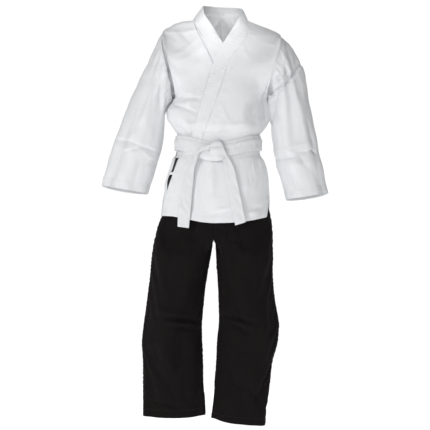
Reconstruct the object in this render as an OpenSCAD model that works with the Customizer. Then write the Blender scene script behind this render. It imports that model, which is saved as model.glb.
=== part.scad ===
// Martial arts uniform: wrap jacket, tied belt and elasticated trousers, as worn.
// +X is the wearer's left, -Y the front, Z up. Zero is the shoulder line at the neck.

/* [Garment] */
// shoulder line to the lowest trouser hem
garment_length = 1374; // [1320:2:1430]
// width across the jacket at the underarms
chest_width = 313; // [300:1:330]
// front to back depth of the jacket at the underarms
chest_depth = 225; // [215:1:240]

/* [Cloth] */
// thickness one layer of cloth is given
cloth_t = 3; // [2:0.5:3]
// air between neighbouring pieces
seam_gap = 0.5; // [0.4:0.1:0.7]
// how far the under front lies below the outer front
tuck = 6.5; // [6:0.5:7]
// turned-in hem of the cuffs and legs
hem_w = 30; // [20:1:40]

/* [Belt] */
// belt width
belt_w = 40; // [36:1:42]
// belt thickness
belt_t = 3; // [2.5:0.5:3.5]
// height of the belt's lower wrap at the sides
belt_z = -425; // [-430:1:-420]

/* [Trousers] */
// height of the waistband
waistband_w = 40; // [34:1:44]
// thickness of the elastic in the waistband
elastic_t = 2.4; // [1.5:0.1:2.6]

/* [Hidden] */
sx = chest_width / 313;
sy = chest_depth / 225;
sz = garment_length / 1374;
size = [sx, sy, sz];

fullness = 2.3;
panel_cols = 9;
ring_cols = 40;
belt_dip = 21;
wrap_step = 11;
shoulder_l = [214, -58];
shoulder_r = [-187, -41];
underarm_l = [167, -262];
underarm_r = [-146, -262];
armhole_depth = 80;
hem_z = -666;
hem_drop = 24;
vent_z = -470;
waist_z = -455;
crotch_x = -14;
crotch_z = -748;
thigh_z = -700;
gusset_half = 12;

white = [0.93, 0.93, 0.94];
shade = [0.86, 0.87, 0.88];
black = [0.10, 0.09, 0.09];
grey = [0.30, 0.30, 0.31];

// jacket body by height: left edge, right edge, depth to the front and to the back
body_l = [[12, 84], [0, 99], shoulder_l_row(), [-262, 167], [-310, 169], [-354, 166], [-378, 157],
          [-392, 146], [-470, 146], [-490, 156], [-530, 168], [-570, 173], [-620, 176], [-700, 181]];
body_r = [[12, -62], [0, -80], [-7, -125], [-20, -158], shoulder_r_row(), [-262, -146], [-310, -158],
          [-354, -163], [-378, -152], [-392, -144], [-470, -144], [-490, -158], [-530, -172], [-570, -183],
          [-620, -192], [-700, -202]];
body_f = [[12, 16], [0, 24], [-40, 62], [-80, 84], [-140, 101], [-200, 111], [-262, 117], [-354, 121],
          [-378, 113], [-392, 105], [-470, 105], [-490, 111], [-530, 117], [-620, 122], [-700, 125]];
body_b = [[12, 62], [0, 66], [-40, 82], [-80, 92], [-140, 102], [-262, 108], [-354, 110],
          [-378, 104], [-392, 98], [-470, 98], [-490, 104], [-530, 110], [-620, 115], [-700, 118]];
function shoulder_l_row() = [shoulder_l[1], shoulder_l[0]];
function shoulder_r_row() = [shoulder_r[1], shoulder_r[0]];

// where the band is sewn on and where its free edge lies, by height
outer_seam = [[0, 99], [-48, 101], [-70, 90], [-136, 41], [-262, -3], [-411, -58], [-476, -88],
              [-578, -118], [-700, -145]];
outer_free = [[10, 73], [-20, 56], [-82, 17], [-143, -12], [-262, -51], [-411, -95], [-476, -134],
              [-578, -170], [-700, -193]];
under_seam = [[0, -80], [-7, -78], [-143, -10], [-262, 34], [-411, 60], [-476, 76], [-578, 92], [-700, 106]];
under_free = [[17, -44], [-82, 17], [-143, 50], [-262, 84], [-411, 104], [-476, 120], [-578, 136],
              [-700, 150]];

front_rows = [-1, -20, -41, -58, -80, -115, -150, -190, -225, -262, -310, -354, -378, -392, -430, -470,
              -490, -530, -570, -620, hem_z];
back_rows = [10, -20, -41, -58, -80, -115, -150, -190, -225, -262, -310, -354, -378, -392, -430, -470,
             -490, -530, -570, -620, hem_z];

// the band round the neck, from the left chest to the right: sewn edge, then standing edge
neck_band = [
    [[96, -55, -40], [50, -58, -30]],
    [[96, -33, -20], [68, -44, 0]],
    [[95, -9, 0], [82, -14, 27]],
    [[91, 28, 6], [80, 23, 40]],
    [[62, 54, 11], [56, 46, 45]],
    [[10, 63, 12], [14, 53, 46]],
    [[-40, 56, 12], [-26, 47, 48]],
    [[-72, 28, 8], [-46, 22, 49]],
    [[-76, -10, 1], [-50, -12, 43]],
    [[-71, -34, -14], [-46, -34, 20]],
    [[-61, -48, -32], [-28, -51, -8]]];

// sleeve rings: outer point, inner point (X, Z) and half depth
sleeve_l = [[shoulder_l, underarm_l, armhole_depth], [[262, -100], [172, -282], 74],
            [[299, -175], [181, -312], 68], [[318, -272], [187, -358], 62], [[338, -370], [194, -415], 56],
            [[358, -470], [208, -490], 50], [[384, -586], [241, -609], 42]];
sleeve_r = [[shoulder_r, underarm_r, armhole_depth], [[-226, -104], [-160, -285], 74],
            [[-274, -205], [-178, -313], 68], [[-314, -292], [-188, -360], 62],
            [[-350, -381], [-196, -420], 56], [[-378, -460], [-212, -480], 50],
            [[-403, -561], [-246, -588], 42]];

// trouser hips by height, then the legs as [height, outer X, inner X, front depth, back depth]
hip_l = [[-455, 127], [-500, 141], [-560, 152], [-620, 160], [-660, 168], [-700, 181], [-748, 187]];
hip_r = [[-455, -128], [-500, -141], [-560, -156], [-620, -171], [-668, -182], [-700, -204], [-748, -219]];
hip_f = [[-455, 86], [-500, 95], [-560, 103], [-620, 106], [-700, 107], [-748, 107]];
hip_b = [[-455, 82], [-500, 94], [-560, 103], [-620, 108], [-700, 113], [-748, 114]];
leg_l = [[-790, 187, -6, 105, 113], [-870, 187, -2, 99, 107], [-952, 194, 2, 93, 100],
         [-1034, 207, 3, 89, 94], [-1088, 204, -3, 85, 90], [-1160, 186, -6, 80, 86],
         [-1240, 175, -11, 75, 81], [-1358, 156, -21, 68, 74]];
leg_r = [[-790, -223, -27, 105, 113], [-870, -231, -37, 99, 107], [-952, -241, -47, 93, 100],
         [-1034, -252, -54, 89, 94], [-1088, -258, -54, 85, 90], [-1160, -255, -51, 80, 86],
         [-1240, -255, -49, 75, 81], [-1337, -254, -44, 68, 74]];

// belt tails: height, edge to the wearer's right, edge to the left, front face
tail_l = [[-480, 2, 30, -122], [-500, 9, 37, -122], [-540, 22, 52, -125], [-600, 38, 72, -126],
          [-650, 50, 85, -126], [-695, 60, 97, -126]];
tail_r = [[-474, -91, -56, -118], [-490, -100, -63, -117], [-540, -111, -72, -119], [-600, -121, -81, -120],
          [-650, -129, -89, -120], [-706, -137, -97, -120]];

function bend(v) = sign(v) * pow(abs(v), 2 / fullness);
function unbend(v) = sign(v) * pow(abs(v), fullness / 2);
function ease(v) = let (t = min(1, max(0, v))) t * t * (3 - 2 * t);
function mix(a, b, t) = a + (b - a) * t;
function turned(list) = [for (i = [len(list) - 1 : -1 : 0]) list[i]];

// half the front-to-back depth of an armhole at a height
function hole_depth(z, top, low) =
    let (v = (z - (top + low) / 2) / ((top - low) / 2))
    abs(v) < 1 ? armhole_depth * sqrt(1 - v * v) : 0;

// angle on a ring whose edges are x_l and x_r: 0 is the left side, 90 the back, 270 the front
function front_angle(x, x_l, x_r) =
    let (c = (x_l + x_r) / 2, h = (x_l - x_r) / 2)
    360 - acos(unbend(max(-1, min(1, (x - c) / h))));
function body_angle(x, z) = front_angle(x, lookup(z, body_l), lookup(z, body_r));

// a point of the jacket body, inset from its outer face
function body_point(angle, z, inset) =
    let (x_l = lookup(z, body_l), x_r = lookup(z, body_r), c = bend(cos(angle)), left = c > 0,
         y_s = left ? hole_depth(z, shoulder_l[1], underarm_l[1])
                    : hole_depth(z, shoulder_r[1], underarm_r[1]),
         w = y_s / armhole_depth, back = sin(angle) > 0,
         depth = (back ? lookup(z, body_b) : lookup(z, body_f)) * sy - inset,
         side = y_s * sy - inset * w, shape = mix(bend(abs(sin(angle))), 1 - c * c, w),
         drop = hem_drop * pow(sin(angle), 2) * ease((-z - 570) / (-hem_z - 570)))
    [(x_l + x_r) / 2 * sx + ((x_l - x_r) / 2 * sx - inset * (1 - w)) * c,
     (back ? 1 : -1) * (side + (depth - side) * shape), (z - drop) * sz];

// how deep the under front is tucked at one place
function tuck_at(x, z) = tuck * ease((x - lookup(z, outer_free) + 45) / 40);
function under_point(x, z, inset) = body_point(body_angle(x, z), z, inset + tuck_at(x, z));
function outer_point(x, z, inset) = body_point(body_angle(x, z), z, inset);

// closed loop through an outer run of points and back along the inner run
function wall(outer, inner) = concat(outer, turned(inner));

// solid through a list of loops; closed joins the last loop to the first
module loft(loops, closed = false) {
    rows = len(loops);
    cols = len(loops[0]);
    last = (rows - 1) * cols;
    sides = [for (r = [0 : closed ? rows - 1 : rows - 2], c = [0 : cols - 1])
        let (r2 = (r + 1) % rows, c2 = (c + 1) % cols)
        each [[r * cols + c, r * cols + c2, r2 * cols + c2], [r * cols + c, r2 * cols + c2, r2 * cols + c]]];
    ends = closed ? [] : [for (c = [0 : cols / 2 - 2])
        let (d = cols - 1 - c)
        each [[c, d - 1, c + 1], [c, d, d - 1], [last + c, last + c + 1, last + d - 1],
              [last + c, last + d - 1, last + d]]];
    polyhedron(points = [for (loop = loops) each loop], faces = concat(sides, ends), convexity = 8);
}

// jacket front from the side to the seam of its band
module front_panel(side, seam, under) {
    loft([for (z = front_rows)
        let (x_e = lookup(z, seam),
             side_x = under && z < vent_z ? max(lookup(z, outer_free) + 8, lookup(z, body_r)) : side * 999,
             from = body_angle(side_x, z), to = body_angle(x_e, z))
        wall([for (i = [0 : panel_cols]) front_spot(mix(from, to, i / panel_cols), z, 0, under)],
             [for (i = [0 : panel_cols]) front_spot(mix(from, to, i / panel_cols), z, cloth_t, under)])]);
}
function front_spot(angle, z, inset, under) =
    let (x = body_point(angle, z, 0)[0] / sx)
    body_point(angle, z, inset + (under ? tuck_at(x, z) : 0));

// jacket back from the side to the centre seam
module back_panel(from, to) {
    loft([for (z = back_rows)
        wall([for (i = [0 : panel_cols]) back_spot(mix(from, to, i / panel_cols), z, 0)],
             [for (i = [0 : panel_cols]) back_spot(mix(from, to, i / panel_cols), z, cloth_t)])]);
}
function back_spot(angle, z, inset) = body_point(angle, z > 0 ? z * sin(angle) : z, inset);

module left_front_panel() color(white) translate([0, -seam_gap / 2, 0])
    front_panel(1, outer_seam, false);

module right_front_panel() color(white) translate([0, -seam_gap / 2, 0])
    front_panel(-1, under_seam, true);

module left_back_panel() color(white) translate([seam_gap / 2, seam_gap / 2, 0])
    back_panel(0.01, 90);

module right_back_panel() color(white) translate([-seam_gap / 2, seam_gap / 2, 0])
    back_panel(179.99, 90);

// one long band: up the outer front, round the neck and down the under front
band_rows = [for (i = [len(front_rows) - 1 : -1 : 4]) front_rows[i]];
function outer_rib(z) = [for (i = [0 : 3])
    let (x = mix(lookup(z, outer_seam) - 2 * seam_gap, lookup(z, outer_free), i / 3)) [x, z]];
function under_rib(z) = [for (i = [0 : 3])
    let (x = mix(lookup(z, under_seam) + 2 * seam_gap, lookup(z, under_free), i / 3)) [x, z]];
function neck_rib(pair, inset) = [for (i = [0 : 3])
    let (p = mix(pair[0], pair[1], i / 3), r = norm([p[0] - 10, p[1]]))
    [(p[0] - (p[0] - 10) / r * inset) * sx, (p[1] - p[1] / r * inset) * sy, p[2] * sz]];

module collar_band() color(white) translate([0, -seam_gap / 2, 0])
    loft(concat(
        [for (z = band_rows)
            wall([for (p = outer_rib(z)) outer_point(p[0], p[1], 0)],
                 [for (p = outer_rib(z)) outer_point(p[0], p[1], cloth_t)])],
        [for (pair = neck_band) wall(neck_rib(pair, 0), neck_rib(pair, cloth_t))],
        [for (z = turned(band_rows))
            wall([for (p = under_rib(z)) under_point(p[0], p[1], 0)],
                 [for (p = under_rib(z)) under_point(p[0], p[1], cloth_t)])]));

// a patch of cloth lying on the jacket body
module patch(from, to, top, low, inset, thick) {
    loft([for (z = [top, (top + low) / 2, low])
        wall([for (i = [0 : 4]) body_point(mix(from, to, i / 4), z, inset)],
             [for (i = [0 : 4]) body_point(mix(from, to, i / 4), z, inset + thick)])]);
}

module left_vent_patch() color(white) patch(-4, 4, -450, -474, -2.8, 2);
module right_vent_patch() color(white) patch(176, 184, -450, -474, -2.8, 2);

// tied tape that bridges the open side of the skirt
module right_side_tie() color(white)
    patch(body_angle(lookup(-522, outer_free) + 12, -522), 184, -517, -527, -3.5, 2.5);
module inner_tie() color(white)
    patch(body_angle(132, -482), body_angle(148, -482), -476, -488, 3.8, 1.8);

// height of the belt along its ring: level at the sides, lower at the front
function belt_height(angle) = belt_z - belt_dip * pow(max(0, -sin(angle)), 6);
module belt_wrap(gap, lift) {
    loft([for (i = [0 : ring_cols - 1])
        let (angle = i * 360 / ring_cols, p = body_point(angle, -430, -gap),
             q = body_point(angle, -430, -gap - belt_t), z = (belt_height(angle) + lift) * sz)
        [[p[0], p[1], z + belt_w / 2], [q[0], q[1], z + belt_w / 2],
         [q[0], q[1], z - belt_w / 2], [p[0], p[1], z - belt_w / 2]]], closed = true);
}
module belt_inner_wrap() color(shade) belt_wrap(1.5, wrap_step);
module belt_outer_wrap() color(shade) belt_wrap(2.2 + belt_t, 0);

// flat knot: a band folded down over a band folded across
module fold(x, z, wide, high, lean, y, thick) {
    translate([x * sx, (y - lookup(-430, body_f)) * sy - 2 * belt_t, z * sz]) rotate([0, lean, 0])
        hull() for (h = [-1, 1], v = [-1, 1])
            translate([h * (wide / 2 - 6), 0, v * (high / 2 - 6)])
                rotate([90, 0, 0]) cylinder(h = thick, r = 6, $fn = 20);
}
module belt_knot() color(shade) {
    fold(-50, -447, 78, 26, -14, -3, 7);
    fold(-6, -455, 62, 30, 6, -4, 12);
    fold(-2, -444, 36, 60, -14, -9, 12);
}

// belt end hanging in front of the jacket
module tail(rows) {
    loft([for (r = rows)
        let (z = r[0] * sz, near = r[3] * sy, far = near - belt_t)
        [[r[1] * sx, near, z], [r[2] * sx, near, z], [r[2] * sx, far, z], [r[1] * sx, far, z]]]);
}
module belt_left_tail() color(shade) tail(tail_l);
module belt_right_tail() color(shade) tail(tail_r);

// ring of a sleeve between an outer and an inner point
function sleeve_ring(row, inset) =
    let (o = [row[0][0] * sx, 0, row[0][1] * sz], n = [row[1][0] * sx, 0, row[1][1] * sz], mid = (o + n) / 2,
         half = norm(o - n) / 2, along = (o - n) / norm(o - n))
    [for (i = [0 : ring_cols - 1])
        let (a = i * 360 / ring_cols)
        mid + along * (half - inset) * cos(a) + [0, (row[2] * sy - inset) * sin(a), 0]];
module tube(outer, inner) loft(concat(outer, turned(inner)), closed = true);
module sleeve(rows, shift) translate([shift, 0, 0])
    tube([for (r = rows) sleeve_ring(r, 0)], [for (r = rows) sleeve_ring(r, cloth_t)]);
module cuff(rows, shift) {
    last = len(rows) - 1;
    span = norm([rows[last][0][0] - rows[last - 1][0][0], rows[last][0][1] - rows[last - 1][0][1]]);
    top = mix(rows[last], rows[last - 1], hem_w / span);
    translate([shift, 0, 0])
        tube([for (r = [top, rows[last]]) sleeve_ring(r, cloth_t + seam_gap)],
             [for (r = [top, rows[last]]) sleeve_ring(r, 2 * cloth_t + seam_gap)]);
}
module left_sleeve() color(white) sleeve(sleeve_l, seam_gap);
module right_sleeve() color(white) sleeve(sleeve_r, -seam_gap);
module left_cuff() color(white) cuff(sleeve_l, seam_gap);
module right_cuff() color(white) cuff(sleeve_r, -seam_gap);

// a point of the trouser hips, inset from the outer face
function hip_point(angle, z, inset) =
    let (back = sin(angle) > 0, edge = cos(angle) > 0 ? lookup(z, hip_l) : lookup(z, hip_r),
         depth = (back ? lookup(z, hip_b) : lookup(z, hip_f)) * sy - inset)
    [crotch_x * sx + (abs(edge - crotch_x) * sx - inset) * bend(cos(angle)),
     (back ? 1 : -1) * depth * bend(abs(sin(angle))), z * sz];
// where the hips end and the legs begin: lower towards the crotch
function thigh_at(angle) = mix(crotch_z, thigh_z, abs(bend(cos(angle))));

module hip_panel(from, to) {
    loft([for (v = [0 : 6])
        wall([for (i = [0 : panel_cols]) hip_spot(mix(from, to, i / panel_cols), v / 6, 0)],
             [for (i = [0 : panel_cols]) hip_spot(mix(from, to, i / panel_cols), v / 6, cloth_t)])]);
}
function hip_spot(angle, v, inset) =
    hip_point(angle, mix(waist_z - waistband_w / sz - seam_gap, thigh_at(angle) + seam_gap / 2, v), inset);

module left_hip_front() color(black) translate([seam_gap / 2, -seam_gap / 2, 0]) hip_panel(359.99, 270.01);
module left_hip_back() color(black) translate([seam_gap / 2, seam_gap / 2, 0]) hip_panel(0.01, 89.99);
module right_hip_front() color(black) translate([-seam_gap / 2, -seam_gap / 2, 0]) hip_panel(180.01, 269.99);
module right_hip_back() color(black) translate([-seam_gap / 2, seam_gap / 2, 0]) hip_panel(179.99, 90.01);

// casing folded over the elastic, open along its lower edge
module waistband() color(black)
    loft([for (i = [0 : ring_cols - 1])
        let (a = i * 360 / ring_cols, low = waist_z - waistband_w / sz, skin = 2.5, top = waist_z - skin,
             deep = 2 * skin + elastic_t + 2 * seam_gap,
             cut = [[0, waist_z], [deep, waist_z], [deep, low], [deep - skin, low], [deep - skin, top],
                    [skin, top], [skin, low], [0, low]])
        [for (c = cut) [each waist_spot(a, c[0]), c[1] * sz]]], closed = true);
function waist_spot(angle, inset) = let (p = hip_point(angle, waist_z - 3, inset)) [p[0], p[1]];
module waist_elastic() color(grey)
    loft([for (i = [0 : ring_cols - 1])
        let (a = i * 360 / ring_cols, low = waist_z - waistband_w / sz + 2, top = waist_z - 3,
             near = 2.5 + seam_gap, far = near + elastic_t,
             cut = [[near, top], [far, top], [far, low], [near, low]])
        [for (c = cut) [each waist_spot(a, c[0]), c[1] * sz]]], closed = true);

// half width of the crotch piece along its length, front 0 to back 1
function gusset_at(t) = gusset_half * sin(180 * t);
module crotch_gusset() color(black) {
    front = -lookup(crotch_z, hip_f) * sy + cloth_t + 2 * seam_gap;
    back = lookup(crotch_z, hip_b) * sy - cloth_t - 2 * seam_gap;
    loft([for (v = [1 : 11])
        let (t = v / 12, y = mix(front, back, t), x = crotch_x * sx, h = gusset_at(t) - seam_gap,
             z = crotch_z * sz)
        [[x - h, y, z], [x + h, y, z], [x + h, y, z - cloth_t], [x - h, y, z - cloth_t]]]);
}

// top of a leg: along the hip edge, then along the crotch piece
function leg_top(u, way, back, inset) =
    let (arc = 0.72, side = way < 0 ? 180 : back ? 0 : 360, middle = back ? 90 - way * 0.6 : 270 + way * 0.6)
    u < arc
        ? let (a = mix(side, middle, u / arc)) hip_point(a, thigh_at(a) - seam_gap / 2, inset)
        : let (t = (u - arc) / (1 - arc), end = hip_point(back ? 90 : 270, crotch_z, inset)[1],
               h = gusset_at(t / 2) + 1.5)
          [crotch_x * sx + way * (h + inset), mix(end, 0, t), (crotch_z - seam_gap / 2) * sz];
function leg_spot(row, u, way, back, inset) =
    let (a = 180 * u, mid = (row[1] + row[2]) / 2 * sx, half = abs(row[1] - row[2]) / 2 * sx - inset,
         depth = (back ? row[4] : row[3]) * sy - inset)
    [mid + way * half * bend(cos(a)), (back ? 1 : -1) * depth * bend(sin(a)),
     row[0] * sz - (row[0] < -1300 && !back ? 14 * sin(a) : 0)];
module leg_panel(rows, way, back) {
    steps = [for (i = [0 : 18]) i / 18];
    loft(concat(
        [wall([for (u = steps) leg_top(u, way, back, 0)], [for (u = steps) leg_top(u, way, back, cloth_t)])],
        [for (r = rows)
            wall([for (u = steps) leg_spot(r, u, way, back, 0)],
                 [for (u = steps) leg_spot(r, u, way, back, cloth_t)])]));
}
module left_leg_front() color(black) translate([0, -seam_gap / 2, 0]) leg_panel(leg_l, 1, false);
module left_leg_back() color(black) translate([0, seam_gap / 2, 0]) leg_panel(leg_l, 1, true);
module right_leg_front() color(black) translate([0, -seam_gap / 2, 0]) leg_panel(leg_r, -1, false);
module right_leg_back() color(black) translate([0, seam_gap / 2, 0]) leg_panel(leg_r, -1, true);

// turned-in hem of a leg
function hem_ring(row, way, lift, inset) = [for (i = [0 : 35])
    let (a = i * 10, back = a > 180, p = leg_spot(row, (back ? 360 - a : a) / 180, way, back, inset))
    [p[0], p[1], p[2] + lift]];
module leg_hem(rows, way) {
    low = rows[len(rows) - 1];
    above = mix(low, rows[len(rows) - 2], 0.18);
    high = [low[0], above[1], above[2], above[3], above[4]];
    near = cloth_t + 2 * seam_gap;
    far = near + cloth_t;
    tube([hem_ring(high, way, hem_w, near), hem_ring(low, way, 1, near)],
         [hem_ring(high, way, hem_w, far), hem_ring(low, way, 1, far)]);
}
module left_leg_hem() color(black) leg_hem(leg_l, 1);
module right_leg_hem() color(black) leg_hem(leg_r, -1);

left_front_panel();
right_front_panel();
left_back_panel();
right_back_panel();
collar_band();
left_vent_patch();
right_vent_patch();
right_side_tie();
inner_tie();
belt_inner_wrap();
belt_outer_wrap();
belt_knot();
belt_left_tail();
belt_right_tail();
left_sleeve();
left_cuff();
right_sleeve();
right_cuff();
waistband();
waist_elastic();
left_hip_front();
left_hip_back();
right_hip_front();
right_hip_back();
crotch_gusset();
left_leg_front();
left_leg_back();
left_leg_hem();
right_leg_front();
right_leg_back();
right_leg_hem();
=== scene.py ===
"""Martial arts uniform: the visible cloth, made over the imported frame."""
import math
import bpy
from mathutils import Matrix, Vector
import numpy as np


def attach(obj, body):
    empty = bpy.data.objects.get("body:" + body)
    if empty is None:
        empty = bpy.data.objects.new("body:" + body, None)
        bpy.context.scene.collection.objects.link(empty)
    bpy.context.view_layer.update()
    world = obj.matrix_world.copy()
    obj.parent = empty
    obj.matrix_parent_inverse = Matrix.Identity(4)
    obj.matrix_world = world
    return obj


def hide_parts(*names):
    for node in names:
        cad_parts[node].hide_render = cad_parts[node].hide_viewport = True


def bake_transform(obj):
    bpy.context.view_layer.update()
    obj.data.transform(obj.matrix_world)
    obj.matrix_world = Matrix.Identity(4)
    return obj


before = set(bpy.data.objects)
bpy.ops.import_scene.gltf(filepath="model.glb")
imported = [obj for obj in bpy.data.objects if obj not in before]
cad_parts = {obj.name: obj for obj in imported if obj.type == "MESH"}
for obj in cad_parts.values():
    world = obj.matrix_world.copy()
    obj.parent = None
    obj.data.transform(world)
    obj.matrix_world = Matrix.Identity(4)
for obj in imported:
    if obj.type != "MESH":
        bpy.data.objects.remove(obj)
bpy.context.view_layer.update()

# ---------------------------------------------------------------- measures, in millimetres
# X is to the wearer's left, Y to the back and Z up, with 0 at the side of the neck
FULLNESS = 2.3        # how square the rings of the body and the legs are: 2 is an ellipse
CLOTH = 1.6           # thickness of one layer
HEM_Z = -666          # the jacket's hem at its sides
HEM_DROP = 24         # how much lower the hem is at the middle
VENT_Z = -470         # top of the side slits
TUCK = 6.5            # how far the under front lies below the outer front
ARMHOLE_DEPTH = 80
CROTCH = (-14, -748)
THIGH_Z = -700        # where a leg starts, at its outer side
WAIST_Z = -455
GUSSET_HALF = 5
SHOULDER_L, UNDERARM_L = (214, -58), (167, -262)
SHOULDER_R, UNDERARM_R = (-187, -41), (-146, -262)


def between(s, values, slopes, q):
    """Values at the places q along s, joined by cubic pieces with the given slopes."""
    k = np.clip(np.searchsorted(s, q) - 1, 0, len(s) - 2)
    shape = np.shape(q) + (1,) * (values.ndim - 1)
    h = (s[k + 1] - s[k]).reshape(shape)
    t = (q - s[k]).reshape(shape) / h
    return (values[k] * (1 + 2 * t) * (1 - t) ** 2 + slopes[k] * h * t * (1 - t) ** 2
            + values[k + 1] * t * t * (3 - 2 * t) + slopes[k + 1] * h * t * t * (t - 1))


def curve(rows):
    """A smooth curve through (key, value) rows that doesn't overshoot them."""
    rows = sorted(rows)
    x = np.array([r[0] for r in rows], float)
    y = np.array([r[1] for r in rows], float)
    slope = np.diff(y) / np.diff(x)
    m = np.zeros_like(x)
    m[0], m[-1] = slope[0], slope[-1]
    same = slope[:-1] * slope[1:] > 0
    m[1:-1][same] = 2 * slope[:-1][same] * slope[1:][same] / (slope[:-1][same] + slope[1:][same])

    def at(q):
        return between(x, y, m, np.clip(np.asarray(q, float), x[0], x[-1]))
    return at


# outline of the jacket's body by height: left, right, front, back and the middle between the sides
body_l = curve([(12, 84), (0, 99), (-58, 214), (-160, 190.5), (-262, 167), (-310, 173), (-340, 175),
                (-358, 167), (-378, 153), (-392, 141), (-456, 141), (-480, 156), (-511, 167), (-540, 171),
                (-570, 173), (-620, 176), (-700, 181)])
body_r = curve([(12, -62), (0, -80), (-7, -125), (-20, -158), (-41, -187), (-151, -166.5), (-262, -146),
                (-290, -166), (-312, -175), (-336, -172), (-358, -159), (-378, -146), (-392, -138),
                (-456, -141), (-482, -160), (-524, -173), (-570, -182), (-620, -188), (-700, -195)])
body_f = curve([(12, 16), (0, 24), (-40, 62), (-80, 84), (-140, 101), (-200, 111), (-262, 117), (-354, 121),
                (-378, 113), (-392, 105), (-460, 105), (-486, 111), (-530, 117), (-620, 122), (-700, 125)])
body_b = curve([(12, 62), (0, 66), (-40, 82), (-80, 92), (-140, 102), (-262, 108), (-354, 110), (-378, 104),
                (-392, 98), (-460, 98), (-486, 104), (-530, 110), (-620, 115), (-700, 118)])
body_mid = curve([(20, 10), (0, 10), (-160, 12), (-262, 10), (-354, 3), (-430, 1), (-700, -7)])

# edges of the two laps by height: the band's seam and its free edge, and the edges of the side slits
outer_seam = curve([(0, 99), (-48, 101), (-70, 90), (-136, 41), (-262, -3), (-411, -58), (-476, -88),
                    (-578, -118), (-700, -145)])
outer_free = curve([(10, 73), (-20, 56), (-82, 17), (-143, -12), (-262, -51), (-411, -95), (-476, -134),
                    (-578, -171), (-600, -181), (-640, -188), (-700, -194)])
vent_edge = curve([(-470, -144), (-482, -148), (-500, -153), (-518, -160), (-535, -168.5), (-550, -172.5),
                   (-578, -173), (-600, -182), (-640, -188.5), (-700, -194.5)])
left_vent_edge = curve([(-600, 175), (-620, 173), (-640, 170), (-666, 164)])
under_seam = curve([(0, -80), (-7, -78), (-143, -10), (-262, 34), (-411, 60), (-476, 76), (-578, 92),
                    (-700, 106)])
under_free = curve([(17, -44), (-82, 17), (-143, 50), (-262, 84), (-411, 104), (-476, 120), (-578, 136),
                    (-700, 150)])

# the collar band round the neck: a point of its seam and a point of its free edge
NECK_BAND = [((102, -57, -41), (50, -58, -30)), ((102, -35, -21), (68, -45, 2)),
             ((101, -10, -3), (82, -14, 28)), ((96, 27, 7), (80, 23, 40)), ((66, 57, 11), (56, 46, 44)),
             ((10, 66, 12), (14, 53, 46)), ((-43, 59, 12), (-26, 47, 49)), ((-77, 27, 7), (-46, 22, 49)),
             ((-84, -10, -3), (-50, -12, 44)), ((-79, -36, -17), (-46, -34, 21)),
             ((-67, -50, -36), (-28, -51, -8))]

# sleeve stations: outer point and inner point (X, Z), half depth
SLEEVE_L = [((214, -58), (167, -262), 80), ((262, -100), (170, -286), 74), ((299, -175), (174, -320), 68),
            ((318, -272), (186, -358), 62), ((338, -370), (194, -415), 56), ((358, -470), (208, -490), 50),
            ((384, -586), (241, -609), 42)]
SLEEVE_R = [((-187, -41), (-146, -262), 80), ((-226, -104), (-160, -285), 74),
            ((-274, -205), (-178, -313), 68), ((-314, -292), (-188, -360), 62),
            ((-350, -381), (-196, -420), 56), ((-378, -460), (-212, -480), 50),
            ((-403, -561), (-246, -588), 42)]

# outline of the trousers above the thighs by height
hip_l = curve([(-455, 127), (-500, 141), (-560, 156), (-620, 169), (-660, 177), (-700, 184), (-748, 187)])
hip_r = curve([(-455, -128), (-500, -141), (-560, -158), (-620, -177), (-668, -192), (-700, -204),
               (-748, -217)])
hip_f = curve([(-455, 86), (-500, 95), (-560, 103), (-620, 106), (-700, 107), (-748, 107)])
hip_b = curve([(-455, 82), (-500, 94), (-560, 103), (-620, 108), (-700, 113), (-748, 114)])
# leg rows: height, outer X, inner X, depth to the front and to the back
LEG_L = [(-790, 187, -7, 105, 113), (-870, 187, -2, 99, 107), (-952, 194, 2, 93, 100),
         (-1034, 207, 3, 89, 94), (-1088, 204, -3, 85, 90), (-1160, 186, -6, 80, 86),
         (-1240, 175, -11, 75, 81), (-1358, 156, -21, 68, 74)]
LEG_R = [(-790, -223, -22, 105, 113), (-870, -231, -37, 99, 107), (-952, -241, -47, 93, 100),
         (-1034, -252, -54, 89, 94), (-1088, -258, -54, 85, 90), (-1160, -255, -51, 80, 86),
         (-1240, -255, -49, 75, 81), (-1337, -254, -44, 68, 74)]


# ---------------------------------------------------------------- surfaces
def bend(v):
    """A cosine or a sine made squarer, for rounded rings."""
    return np.sign(v) * np.abs(v) ** (2 / FULLNESS)


def unbend(v):
    return np.sign(v) * np.abs(v) ** (FULLNESS / 2)


def ease(v):
    """0 up to 0, 1 from 1, and smooth between."""
    t = np.clip(v, 0, 1)
    return t * t * (3 - 2 * t)


def cosd(a):
    return np.cos(np.radians(a))


def sind(a):
    return np.sin(np.radians(a))


def hole_depth(z, top, low):
    """Half the front-to-back depth of an armhole at a height."""
    v = (z - (top + low) / 2) / ((top - low) / 2)
    return ARMHOLE_DEPTH * np.sqrt(np.clip(1 - v * v, 0, 1))


def body_angle(x, z):
    """Angle round the jacket of a place on its front: 270 is the middle, 360 the left side."""
    mid = body_mid(z)
    half = np.where(x > mid, body_l(z) - mid, mid - body_r(z))
    return 360 - np.degrees(np.arccos(unbend(np.clip((x - mid) / half, -1, 1))))


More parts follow.
